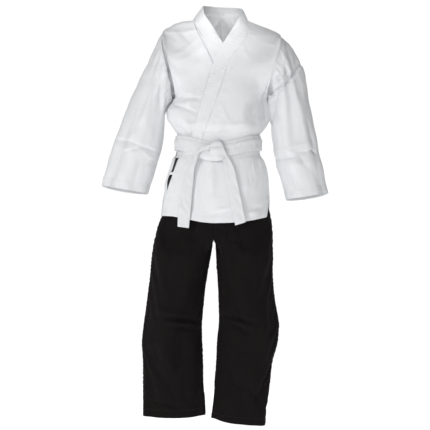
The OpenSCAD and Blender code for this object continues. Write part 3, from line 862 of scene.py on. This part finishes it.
RIGHT_SLEEVE_FRONT = [
    ((-312, -446), (-250, -427), 6, -4.4, 0.6), ((-347, -403), (-290, -414), 7, -3.5, 0.6),
    ((-286, -416), (-210, -446), 6, -4.4, 0.6), ((-243, -492), (-210, -478), 7, -4.4),
    ((-330, -432), (-270, -452), 10, 3.5), ((-262, -440), (-226, -470), 8, 3.5),
    ((-300, -400), (-270, -380), 8, 2.7), ((-186, -170), (-222, -400), 17, -5.4),
    ((-168, -140), (-196, -320), 13, 6.8), ((-250, -130), (-300, -360), 26, 5.4),
    ((-215, -70), (-262, -160), 20, -4.1), ((-205, -300), (-240, -420), 15, 4.1),
    ((-330, -470), (-370, -560), 15, -4.1), ((-270, -490), (-290, -580), 14, -4.7),
    ((-300, -470), (-330, -560), 16, 4.7), ((-208, -118), (-203, -160), 6, -2.7)]
RIGHT_SLEEVE_BACK = [
    ((-260, -160), (-170, -290), 18, -6, 0.5), ((-330, -420), (-215, -460), 10, -5, 0.6),
    ((-340, -400), (-215, -430), 12, 5), ((-300, -280), (-330, -400), 16, -4),
    ((-220, -250), (-245, -400), 22, 4), ((-345, -480), (-255, -500), 12, 4)]


def armhole_blend(body, shoulder, underarm):
    """The joint between the jacket and an arm: from the middle of the armhole to 90 mm out from it."""
    (x, z), (low_x, low_z) = shoulder, underarm
    outwards = np.array([z - low_z, 0, low_x - x]) / math.hypot(x - low_x, z - low_z)
    start = np.array([(x + low_x) / 2, 0, (z + low_z) / 2])
    return "jacket", body, metres(start), metres(start + 90 * np.round(outwards, 3) * (1 if x > 0 else -1))


LEFT_CREASE = curve([(-310, 3), (-266, 8), (-252, 8), (-226, 8), (-210, 3), (-150, 0), (-58, 0)])
RIGHT_CREASE = curve([(-306, 4), (-262, 13), (-225, 9), (-170, 12), (-150, 11), (-106, 8), (-60, 6),
                      (-41, 2)])
LEFT_TUCKS = [((181, -228), (178, -256), 10, 60), ((199, -264), (184, -346), 19, 60)]
RIGHT_TUCKS = [((-187, -52), (-180, -106), 4, 14), ((-180, -100), (-168, -157), 4, 18),
               ((-168, -152), (-162, -190), 5, 28), ((-162, -187), (-154, -225), 4, 18),
               ((-154, -225), (-150, -262), 6, 34)]
armholes = {"left": armhole_blend("left_arm", SHOULDER_L, UNDERARM_L),
            "right": armhole_blend("right_arm", SHOULDER_R, UNDERARM_R)}
sleeves = {
    "left": sleeve("left", SLEEVE_L, body_l, LEFT_SLEEVE_FRONT, LEFT_SLEEVE_BACK, 21, LEFT_CREASE,
                   LEFT_TUCKS),
    "right": sleeve("right", SLEEVE_R, body_r, RIGHT_SLEEVE_FRONT, RIGHT_SLEEVE_BACK, 23, RIGHT_CREASE,
                    RIGHT_TUCKS)}


def row_above_end(p, up):
    """The row of a tube that lies this far above its end."""
    d = arc(p, 0)
    return int(np.argmin(np.abs((d[-1:] - d).mean(1) - up)))


def inner_hem(name, p, n, deep, inset, material, nodes, body):
    """Cloth turned up inside the end of a tube: it starts at the tube's edge and ends in a stitched fold."""
    first = row_above_end(p, deep)
    inside = p[first:] - n[first:] * inset
    step = np.linspace(0, 1, len(inside))[:, None]
    height = -0.4 * seam_groove(step - 0.12, 0.05) + 0 * inside[..., 0]
    piece = cloth_piece(name, inside, height, None, material, wrap=True, thick=1.2)[0]
    mount(piece, nodes, body=body)


for side, (p, n) in sleeves.items():
    inner_hem(f"jacket_{side}_cuff", p, n, CUFF, 1.9, white_cotton, [f"{side}_cuff"],
              f"{side}_arm")


def ring_row(p, n, row):
    """A closed line of stitches along one row of a tube."""
    at = np.r_[0:p.shape[1], 0]
    return p[row, at] + n[row, at] * STITCH_LIFT, n[row, at]


def ring_line(p, n, up):
    """A closed line of stitches this far above the end of a tube."""
    return ring_row(p, n, row_above_end(p, up))


for side, (p, n) in sleeves.items():
    lines = [ring_line(p, n, up) for up in (*CUFF_SEAMS, CUFF - 1.5)]
    stitches(f"jacket_{side}_cuff_stitching", lines, white_thread, f"{side}_arm")


# ---------------------------------------------------------------- belt
BELT_Z, BELT_DIP = -425, 21   # height of the middle of the outer turn, and its dip at the front
BELT_W, BELT_T = 40, 3
WRAP_STEP = 11                # how far the inner turn stands above the outer one
BELT_ROWS = (0.07, 0.19, 0.31, 0.44, 0.56, 0.69, 0.81, 0.93)
BELT_COLS = 41
WRAP_START = 268


def webbing(name, p, nodes, seed, body=None, across=None, bulge=0.0, out=(0, -1, 0), wave=0.5):
    """A run of belt: several thicknesses of cloth sewn together in lengthwise rows."""
    t = np.linspace(0, 1, p.shape[1])[None, :]
    height = 0.9 * (1 - np.abs(2 * t - 1) ** 8) + bulge * (1 - (2 * t - 1) ** 2)
    height = height - 0.2 * sum(seam_groove((t - k) * BELT_W, 0.9) for k in BELT_ROWS)
    height = height + ripple(arc(p, 0), arc(p, 1), seed, 34, wave) + 0.06 * np.sin(arc(p, 0) / 1.9 + 9 * t)
    piece, p, n = cloth_piece(name, p, height, out, belt_cotton, thick=2.6)
    mount(piece, nodes, body=body, across=across)
    lines = [column_line(p, n, int(round(k * (p.shape[1] - 1))), 0.05) for k in BELT_ROWS]
    stitches(name + "_stitching", lines, white_thread, body, pitch=4.2, size=(1.4, 0.35, 0.14), across=across,
             slot="belt_cotton")


def wrap_grid(gap, lift):
    """One turn of the belt round the waist, a gap outside the jacket; it dips at the front."""
    angle = np.linspace(WRAP_START, WRAP_START + 359.9, 460)[:, None]
    t = np.linspace(0, 1, BELT_COLS)[None, :]
    p = body_point(angle + 0 * t, -430 + 0 * t + 0 * angle, -gap)
    level = BELT_Z - BELT_DIP * np.maximum(0, -sind(angle)) ** 6 + lift
    p[..., 2] = level + BELT_W / 2 - BELT_W * t
    return p


def around(p):
    """Outward direction of a ring round the body, level with the ground."""
    d = p.copy()
    d[..., 2] = 0
    return d / np.linalg.norm(d, axis=-1, keepdims=True)


for turn, gap, lift, seed in (("inner", 1.5 + BELT_T, WRAP_STEP, 31), ("outer", 2.2 + 2 * BELT_T, 0, 33)):
    ring = wrap_grid(gap, lift)
    webbing(f"belt_{turn}_turn", ring, [f"belt_{turn}_wrap"], seed, body="jacket", out=around(ring))


def strip(ribs, rows, cols=BELT_COLS):
    """A flat run between two edges; each rib is its two edge points."""
    return loft_rows([edge_to_edge(a, b, cols) for a, b in ribs], rows)


# the two edge points of the strap along the knot's front, the band across it and the two ends
KNOT_FRONT = [((-19, -109, -419), (6, -109, -408)), ((-22, -118, -418), (7, -118, -408)),
              ((-25, -127, -424), (10, -127, -415)), ((-27, -132, -437), (17, -131, -429)),
              ((-27, -134, -449), (23, -132, -444)), ((-25, -132, -460), (28, -129, -456)),
              ((-21, -126, -468), (30, -123, -465)), ((-17, -119, -472), (29, -117, -469))]
KNOT_ACROSS = [((-70, -114, -452), (-64, -112, -470)), ((-58, -121, -447), (-56, -120, -474)),
               ((-38, -127, -446), (-38, -127, -479)), ((-14, -130, -448), (-14, -131, -482)),
               ((6, -130, -449), (6, -131, -481)), ((18, -126, -450), (18, -125, -477)),
               ((26, -119, -450), (25, -117, -471)), ((28, -113, -447), (27, -112, -463))]
RIGHT_TAIL = [((-8, -124, -423), (-10, -122, -443)), ((-30, -130, -427), (-30, -127, -445)),
              ((-50, -132, -433), (-46, -129, -448)), ((-68, -129, -445), (-58, -132, -452)),
              ((-80, -123, -462), (-67, -134, -463)), ((-89, -120, -482), (-72, -133, -482)),
              ((-103, -119, -508), (-79, -129, -508)), ((-121, -121, -558), (-84, -126, -558)),
              ((-128, -124, -600), (-88, -127, -600)), ((-134, -127, -650), (-92, -129, -651)),
              ((-136, -127, -702), (-98, -129, -707))]
LEFT_TAIL = [((2, -118, -455), (26, -116, -448)), ((9, -122, -466), (34, -121, -463)),
             ((16, -126, -482), (43, -126, -480)), ((24, -127, -518), (58, -128, -518)),
             ((31, -127, -560), (67, -129, -560)), ((40, -128, -600), (76, -129, -600)),
             ((49, -130, -650), (86, -129, -648)), ((58, -131, -698), (94, -130, -687))]

for name, ribs, seed in (("belt_knot_front", KNOT_FRONT, 35), ("belt_knot_across", KNOT_ACROSS, 36)):
    webbing(name, strip(ribs, 130), ["belt_knot"], seed, body="jacket", bulge=3, wave=0.9)
RIGHT_SWING = ("jacket", "right_tail", (-0.073, -0.1195, -0.4735), (-0.09, -0.1195, -0.53))
LEFT_SWING = ("jacket", "left_tail", (0.016, -0.1235, -0.4795), (0.03, -0.1235, -0.535))
webbing("belt_right_end", strip(RIGHT_TAIL, 300), ["belt_right_tail"], 37, across=RIGHT_SWING, wave=0.7)
webbing("belt_left_end", strip(LEFT_TAIL, 260), ["belt_left_tail"], 38, across=LEFT_SWING, wave=0.7)


# ---------------------------------------------------------------- trousers
LEG_COLS, SPLIT = 101, 72
HIP_ROWS, LEG_ROWS = 66, 190
HIP_RIBS = 8
LEG_HEM = 26
LEG_HEM_SEAMS = (22, 25)
BAND_LOW = WAIST_Z - 40.5


def hip_point(angle, z, inset=0):
    """A point of the trousers above the thighs, set in from their outer face by inset."""
    angle, z = np.broadcast_arrays(np.asarray(angle, float), np.asarray(z, float))
    back = sind(angle) > 0
    edge = np.where(cosd(angle) > 0, hip_l(z), hip_r(z))
    depth = np.where(back, hip_b(z), hip_f(z)) - inset
    x = CROTCH[0] + (np.abs(edge - CROTCH[0]) - inset) * bend(cosd(angle))
    return np.stack([x, np.where(back, 1, -1) * depth * bend(np.abs(sind(angle))), z], -1)


def quarter_ribs(rows, way, back):
    """Ribs of one trouser quarter, from the waistband to the hem.

    Above the thigh the columns past SPLIT run along the gusset, and on a leg they go round its inner side."""
    u = np.linspace(0, 1, LEG_COLS)
    side, middle = (180 if way < 0 else 0 if back else 360), (90 if back else 270)
    angle = side + (middle - side) * np.minimum(u / (SPLIT / 100), 1)
    thigh = CROTCH[1] + (THIGH_Z - CROTCH[1]) * np.abs(bend(cosd(angle)))
    top = hip_point(angle, thigh)
    t = np.clip((u * 100 - SPLIT) / (100 - SPLIT), 0, 1)
    crotch = t > 0
    top[crotch, 0] = CROTCH[0] + way * GUSSET_HALF * np.sin(np.pi / 2 * t[crotch])
    top[crotch, 1] = top[SPLIT, 1] * (1 - t[crotch])
    ribs = []
    for v in np.linspace(0, 1, HIP_RIBS)[:-1]:
        rib = hip_point(angle, BAND_LOW + (thigh - BAND_LOW) * v)
        rib[crotch] += top[crotch] - top[SPLIT]
        ribs.append(rib)
    ribs.append(top)
    a = np.radians(180 * u)
    for row in rows:
        mid, half = (row[1] + row[2]) / 2, abs(row[1] - row[2]) / 2
        z = np.full_like(u, row[0])
        if row is rows[-1]:
            z -= (12 if way > 0 else 1) * np.cos(a) + (0 if back else 14 * np.sin(a))
        y = (row[4] if back else -row[3]) * bend(np.sin(a))
        ribs.append(np.stack([mid + way * half * bend(np.cos(a)), y, z], -1))
    return np.array(ribs)


def quarter_grid(ribs):
    """Rows of a trouser quarter: HIP_ROWS down to the thigh and LEG_ROWS below it."""
    s = rib_places(ribs)
    thigh = s[HIP_RIBS - 1]
    q = np.concatenate([np.linspace(0, thigh, HIP_ROWS), np.linspace(thigh, s[-1], LEG_ROWS + 1)[1:]])
    return between(s, ribs, np.gradient(ribs, s, axis=0), q)


LEG_FRONT_FOLDS = [
    ((-22, -690), (-26, -770), 8, -5), ((6, -690), (0, -790), 9, -6.2), ((36, -690), (30, -770), 9, -5),
    ((-14, -720), (-80, -790), 14, -5, 0.5), ((-6, -730), (60, -800), 14, -5, 0.5),
    ((-100, -700), (-120, -840), 26, 5), ((110, -700), (110, -850), 26, 5),
    ((60, -760), (70, -900), 26, -3.8), ((-166, -1006), (-58, -1024), 9, -13.2, 0.6),
    ((-150, -1040), (-70, -1046), 9, -9.3, 0.5), ((-170, -1024), (-64, -1036), 8, 9.3),
    ((-210, -985), (-120, -1000), 12, 7.5), ((-104, -1110), (-165, -1260), 13, -6.2, 0.4),
    ((-232, -1138), (-145, -1276), 13, -6.2, 0.4), ((-112, -1205), (-112, -1294), 10, -5),
    ((-242, -1291), (-120, -1310), 9, -6.2, 0.5), ((-190, -1110), (-130, -1230), 16, 5),
    ((-210, -1180), (-200, -1290), 16, 5), ((22, -1002), (112, -1021), 9, -11.2, 0.6),
    ((40, -1026), (102, -1055), 9, -9.3, 0.6), ((30, -1016), (120, -1040), 8, 7.5),
    ((12, -1162), (66, -1242), 12, -6.2, 0.5), ((64, -1241), (96, -1249), 9, -5),
    ((108, -1246), (161, -1310), 11, -6.2, 0.5), ((40, -1120), (110, -1230), 18, 5),
    ((130, -1130), (150, -1260), 16, -5), ((20, -1250), (60, -1330), 12, 5),
    ((-130, -860), (-150, -980), 24, -5), ((80, -880), (100, -980), 24, 5)]
LEG_BACK_FOLDS = [
    ((-14, -730), (-110, -800), 18, -6, 0.5), ((-14, -730), (90, -800), 18, -6, 0.5),
    ((-14, -760), (-90, -850), 20, 4), ((-14, -760), (80, -850), 20, 4),
    ((-200, -1010), (-70, -1030), 11, -6, 0.5), ((-200, -1050), (-80, -1060), 12, 5),
    ((20, -1010), (150, -1030), 11, -6, 0.5), ((30, -1050), (150, -1062), 12, 5),
    ((-220, -1150), (-120, -1270), 16, -5), ((20, -1150), (120, -1270), 16, -5),
    ((-150, -850), (-160, -980), 26, 4), ((90, -850), (100, -980), 26, 4)]


def thigh_blend(side):
    """The joint between the hips and a leg: from the crotch down towards the leg's outer side."""
    start = np.array([CROTCH[0], 0, CROTCH[1]])
    along = np.array([0.457 if side == "left" else -0.457, 0, -0.89])
    return "trousers", f"{side}_leg", metres(start), metres(start + 200 * along)


def trouser_quarter(side, part, rows, seed):
    """The front or the back of one side of the trousers, from the waistband to the hem, and its normals."""
    name, nodes = f"trousers_{side}_{part}", [f"{side}_hip_{part}", f"{side}_leg_{part}"]
    back = part == "back"
    p = quarter_grid(quarter_ribs(rows, 1 if side == "left" else -1, back))
    n = facing(p, (0, 1, 0) if back else (0, -1, 0))
    col = np.arange(LEG_COLS)[None, :] + 0 * p[..., 0]
    row = np.arange(len(p))[:, None] + 0 * p[..., 0]
    height = folds(p[..., 0], p[..., 2], LEG_BACK_FOLDS if back else LEG_FRONT_FOLDS)
    height += ripple(p[..., 0], p[..., 2], seed, 110, 1.6) + ripple(p[..., 0], p[..., 2], seed + 1, 40, 0.5)
    to_centre = ease(np.abs(SPLIT - col) / 7)
    height *= ease(col / 7) * ease((LEG_COLS - 1 - col) / 6) * ease(row / 8)
    height *= np.where(row < HIP_ROWS + 1, to_centre, np.maximum(to_centre, ease((row - HIP_ROWS) / 14)))
    height -= 0.8 * seam_groove(col, 1.2)
    left = p[..., 2] - p[-1:, :, 2]
    height += hem_step(left, deep=LEG_HEM, step=0.6)
    edge = np.maximum(1 - ease(col / 12), 1 - ease((LEG_COLS - 1 - col) / 10))
    centre = (1 - ease(np.abs(SPLIT - col) / 6)) * (row < HIP_ROWS + 1)
    hold = 0.06 + 0.94 * np.maximum(np.maximum(edge, centre), 1 - ease(row / 8))
    height += drape(p, n, hold, LEG_EASE)
    p = p + n * height[..., None]
    keep = ~((np.arange(len(p) - 1)[:, None] < HIP_ROWS - 1) & (np.arange(LEG_COLS - 1)[None, :] >= SPLIT))
    piece = grid_mesh(name, p, black_cotton, inward=winding(p, n), keep=keep)
    mount(piece, nodes, across=thigh_blend(side))
    return p, n


quarters = {}
for side, rows, seed in (("left", LEG_L, 43), ("right", LEG_R, 39)):
    for part in ("front", "back"):
        quarters[side, part] = trouser_quarter(side, part, rows, seed + (part == "back"))


def leg_tube(side):
    """Front and back of a leg as one ring per row, for the hem inside it and the stitches round it."""
    front, n_front = quarters[side, "front"]
    back, n_back = quarters[side, "back"]
    p = np.concatenate([front[HIP_ROWS:], back[HIP_ROWS:, -2:0:-1]], axis=1)
    n = np.concatenate([n_front[HIP_ROWS:], n_back[HIP_ROWS:, -2:0:-1]], axis=1)
    return p, n


for side in ("left", "right"):
    p, n = leg_tube(side)
    inner_hem(f"trousers_{side}_hem", p[:, ::2], n[:, ::2], 28, 2.0, black_cotton,
              [f"{side}_leg_hem"], f"{side}_leg")
    stitches(f"trousers_{side}_hem_stitching", [ring_line(p, n, up) for up in LEG_HEM_SEAMS], black_thread,
             f"{side}_leg")
    for part in ("front", "back"):
        p, n = quarters[side, part]
        lines = [column_line(p, n, 2)]
        if part == "back":
            lines.append(column_line(p, n, SPLIT - 2, rows=slice(0, HIP_ROWS)))
        stitches(f"trousers_{side}_{part}_stitching", lines, black_thread, across=thigh_blend(side))


def gusset():
    """The narrow strip between the legs, from the front crotch to the back one."""
    t = np.linspace(0, 1, 90)[:, None]
    s = np.linspace(-1, 1, 15)[None, :]
    half = np.maximum(GUSSET_HALF * np.sin(np.pi * t), 0.6)
    front, back = -hip_f(CROTCH[1]), hip_b(CROTCH[1])
    p = np.stack([CROTCH[0] + half * s, front + (back - front) * t + 0 * s,
                  CROTCH[1] - 1.5 * np.sin(np.pi * t) * (1 - s * s)], -1)
    height = ripple(p[..., 0], p[..., 1], 51, 30, 0.3)
    piece = cloth_piece("trousers_gusset", p, height, (0, 0, -1), black_cotton)[0]
    mount(piece, ["crotch_gusset"], body="trousers")


gusset()


# ---------------------------------------------------------------- waistband
WAIST_COLS = 520
CASING_ROWS = 22
WAIST_ROUND = 3.2
WAIST_STITCHES = (0.1, 0.36, 0.62, 0.9)


def waist_ring(inset, z):
    """A level ring round the waist."""
    angle = np.arange(WAIST_COLS) * 360 / WAIST_COLS
    p = hip_point(angle, WAIST_Z - 3 + 0 * angle, inset)
    p[:, 2] = z
    return p


def closed_ring(name, p, height, material, nodes, thick):
    """A band of the waist that faces outwards at its first rows."""
    n = normals(closed(p))[:, 1:-1]
    middle = p.mean(axis=(0, 1))
    if ((p[1] - middle) * n[1]).sum() < 0:
        n = -n
    p = p + n * height[..., None]
    piece = grid_mesh(name, p, material, wrap=True, thick=thick, inward=winding(p[:4], n[:4]))
    mount(piece, nodes, body="trousers")
    return p, n


def waistband():
    """The casing: up the outside, over the elastic and down the inside, gathered all round."""
    shoulder, half = WAIST_Z - WAIST_ROUND, 4.2
    path = [(0, BAND_LOW)] + [(0, z) for z in np.linspace(BAND_LOW + 2, shoulder, CASING_ROWS)]
    for a in np.linspace(0.3, 2.84, 8):
        path.append((half - half * math.cos(a), shoulder + WAIST_ROUND * math.sin(a)))
    path += [(2 * half, z) for z in np.linspace(shoulder, BAND_LOW + 1, CASING_ROWS)]
    p = np.array([waist_ring(inset, z) for inset, z in path])
    along = arc(p, 1)
    down = (WAIST_Z - p[..., 2]) / 40
    phase = along * 2 * math.pi / 8.6
    gather = np.sin(phase + 1.8 * np.sin(along / 37) + 0.8 * np.sin(5 * down))
    pinch = sum(seam_groove(down - k, 0.035) for k in WAIST_STITCHES)
    height = gather * (1.25 - 0.7 * np.clip(pinch, 0, 1)) - 0.4 * np.clip(pinch, 0, 1)
    height = height * np.where(np.arange(len(p))[:, None] > 26, 0.45, 1)
    p, n = closed_ring("trousers_waistband", p, height, black_cotton, ["waistband"], 1.1)
    rows = [int(np.argmin(np.abs(p[:CASING_ROWS, 0, 2] - (WAIST_Z - 40 * k)))) for k in WAIST_STITCHES]
    stitches("trousers_waistband_stitching", [ring_row(p, n, r) for r in rows], black_thread, "trousers")


waistband()


def elastic():
    """The flat ribbed elastic inside the casing."""
    p = np.array([waist_ring(3.1, z) for z in np.linspace(WAIST_Z - 5, BAND_LOW + 4, 40)])
    height = 0.25 * np.sin(p[..., 2] * 2 * math.pi / 2.4)
    closed_ring("trousers_elastic", p, height, elastic_web, ["waist_elastic"], 1.6)


elastic()


# ---------------------------------------------------------------- small pieces of the jacket
def vent_patch(side, angle):
    """The reinforcing patch over the top of a side slit, sewn on with a boxed cross."""
    name, rows, cols = f"jacket_{side}_vent_patch", 30, 40
    t = np.linspace(-5, 5, cols)[None, :]
    z = np.linspace(-449, -475, rows)[:, None]
    p = body_point(angle + t + 0 * z, z + 0 * t, -1.6)
    t, v = np.linspace(0, 1, cols)[None, :], np.linspace(0, 1, rows)[:, None]
    edge = np.minimum(np.minimum(t, 1 - t) * cols, np.minimum(v, 1 - v) * rows)
    height = 0.5 * ease(edge / 3) - 0.3 * seam_groove(edge - 4, 1.1)
    height += ripple(p[..., 0], p[..., 2], 61, 18, 0.2)
    out = (1, 0, 0) if side == "left" else (-1, 0, 0)
    piece, p, n = cloth_piece(name, p, height, out, white_cotton, thick=1.4)
    mount(piece, [f"{side}_vent_patch"], body="jacket")
    top, low, first, last = 4, rows - 5, 4, cols - 5
    k = np.linspace(0, 1, 30)
    down = (top + (low - top) * k).astype(int)
    right, left = (first + (last - first) * k).astype(int), (last - (last - first) * k).astype(int)
    lines = [(top, slice(first, last)), (low, slice(first, last)), (slice(top, low), first),
             (slice(top, low), last), (down, right), (down, left)]
    stitches(name + "_stitching", [(p[line], n[line]) for line in lines], white_thread, "jacket", pitch=2.8,
             size=(1.0, 0.35, 0.3))


vent_patch("left", 0)
vent_patch("right", 180)


def tape(name, ribs, rows, nodes, out, seed):
    """A narrow tape with a line of weave near each edge."""
    p = strip(ribs, rows, 17)
    t = np.linspace(0, 1, 17)[None, :]
    height = 0.35 * (1 - np.abs(2 * t - 1) ** 6) + ripple(arc(p, 0), arc(p, 1), seed, 16, 0.4)
    height = height - 0.2 * (seam_groove(t - 0.12, 0.05) + seam_groove(t - 0.88, 0.05))
    piece = cloth_piece(name, p, height, out, white_cotton, thick=1.3)[0]
    mount(piece, nodes, body="jacket")


def body_rib(angle, z, width, inset):
    """The two edge points of a tape that lies level round the body."""
    return tuple(body_point(angle, z, inset)), tuple(body_point(angle, z - width, inset))


TIE_Z, TIE_WIDTH = -517.5, 9.5
tie_x = np.linspace(float(outer_free(-522)) + 14, float(vent_edge(-522)) - 6, 7)
tie_ribs = []
for i, x in enumerate(tie_x):
    top = TIE_Z - 0.6 * math.sin(i)
    tie_ribs.append(tuple(tuple(body_point(body_angle(x, z), z, -2.2)) for z in (top, top - TIE_WIDTH)))
tape("jacket_right_side_tie", tie_ribs, 60, ["right_side_tie"], (-0.3, -1, 0), 71)
inner_angles = np.linspace(float(body_angle(132, -482)), float(body_angle(148, -482)), 6)
tape("jacket_inner_tie", [body_rib(float(a), -476.5, 11, 4.2) for a in inner_angles], 50, ["inner_tie"],
     (0, -1, 0), 73)


# ---------------------------------------------------------------- seams of the jacket
def panel_lines(p, n):
    """Two rows of stitches at a panel's hem and one along its side."""
    lines = [row_line(p, n, hem_row(p, up)) for up in HEM_SEAMS]
    lines.append(column_line(p, n, 3, rows=slice(8, None)))
    return lines


for name, (p, n) in panels.items():
    lines = panel_lines(p, n)
    if name.endswith("back"):
        lines.append(column_line(p, n, BACK_COLS - 4, rows=slice(6, None)))
    stitches(f"jacket_{name}_stitching", lines, white_thread, "jacket")
for side, (p, n) in sleeves.items():
    stitches(f"jacket_{side}_armhole_stitching", [ring_row(p, n, 3)], white_thread, across=armholes[side])


# ---------------------------------------------------------------- floor, light and camera
def floor():
    mesh = bpy.data.meshes.new("floor")
    ring = [(3.4 * math.cos(a), 3.4 * math.sin(a), -1.40) for a in np.linspace(0, 2 * math.pi, 97)[:-1]]
    mesh.from_pydata(ring, [], [list(range(96))])
    mat, shader = new_material("pale floor", (0.94, 0.94, 0.94), 0.9)
    shader.inputs["Emission Color"].default_value = (1, 1, 1, 1)
    shader.inputs["Emission Strength"].default_value = 0.6
    mesh.materials.append(mat)
    linked("floor", mesh)


def aimed(name, data, place, direction):
    light = linked(name, data)
    light.location = place
    light.rotation_euler = Vector(direction).to_track_quat("-Z", "Y").to_euler()


def area_light(name, place, target, size, power):
    data = bpy.data.lights.new(name, "AREA")
    data.shape = "DISK"
    data.size = size
    data.energy = power
    aimed(name, data, place, np.array(target) - np.array(place))


floor()
area_light("key light", (-3.0, -4.2, 0.5), (0, 0, -0.6), 1.2, 77)
area_light("front light", (-0.6, -6.0, -0.2), (0, 0, -0.6), 1.6, 69)
area_light("back light", (0.3, 3.4, 1.8), (0, 0, -0.4), 2.4, 60)
area_light("top light", (0, -0.4, 3.0), (0, 0, 0), 3.0, 8)


def neck_light():
    """A narrow light into the neck, so that the inside of the back shows."""
    data = bpy.data.lights.new("neck light", "SPOT")
    data.energy = 100
    data.shadow_soft_size = 0.1
    data.spot_size = math.radians(7.6)
    data.spot_blend = 1.0
    aimed("neck light", data, (0.02, -1.8, 0.42), (-0.02, 1.85, -0.47))


neck_light()

# the white backdrop is brighter to the camera than the light it gives
AMBIENT, BACKDROP = 0.27, 1.05
world = bpy.data.worlds.new("studio")
bpy.context.scene.world = world
world.use_nodes = True
world_nodes, world_links = world.node_tree.nodes, world.node_tree.links
world_nodes["Background"].inputs["Color"].default_value = (1, 1, 1, 1)
world_nodes["Background"].inputs["Strength"].default_value = AMBIENT
seen = world_nodes.new("ShaderNodeBackground")
seen.inputs["Color"].default_value = (1, 1, 1, 1)
seen.inputs["Strength"].default_value = BACKDROP
path = world_nodes.new("ShaderNodeLightPath")
mixed = world_nodes.new("ShaderNodeMixShader")
world_links.new(path.outputs["Is Camera Ray"], mixed.inputs[0])
world_links.new(world_nodes["Background"].outputs[0], mixed.inputs[1])
world_links.new(seen.outputs[0], mixed.inputs[2])
world_links.new(mixed.outputs[0], world_nodes["World Output"].inputs["Surface"])

lens = bpy.data.cameras.new("camera")
lens.sensor_width = 36
lens.lens = 295.5
lens.clip_end = 60
camera = linked("camera", lens)
camera.location = (-0.010, -12.0, -0.663)
camera.rotation_euler = (math.radians(90), 0, 0)
bpy.context.scene.camera = camera
bpy.context.scene.view_settings.view_transform = "Standard"
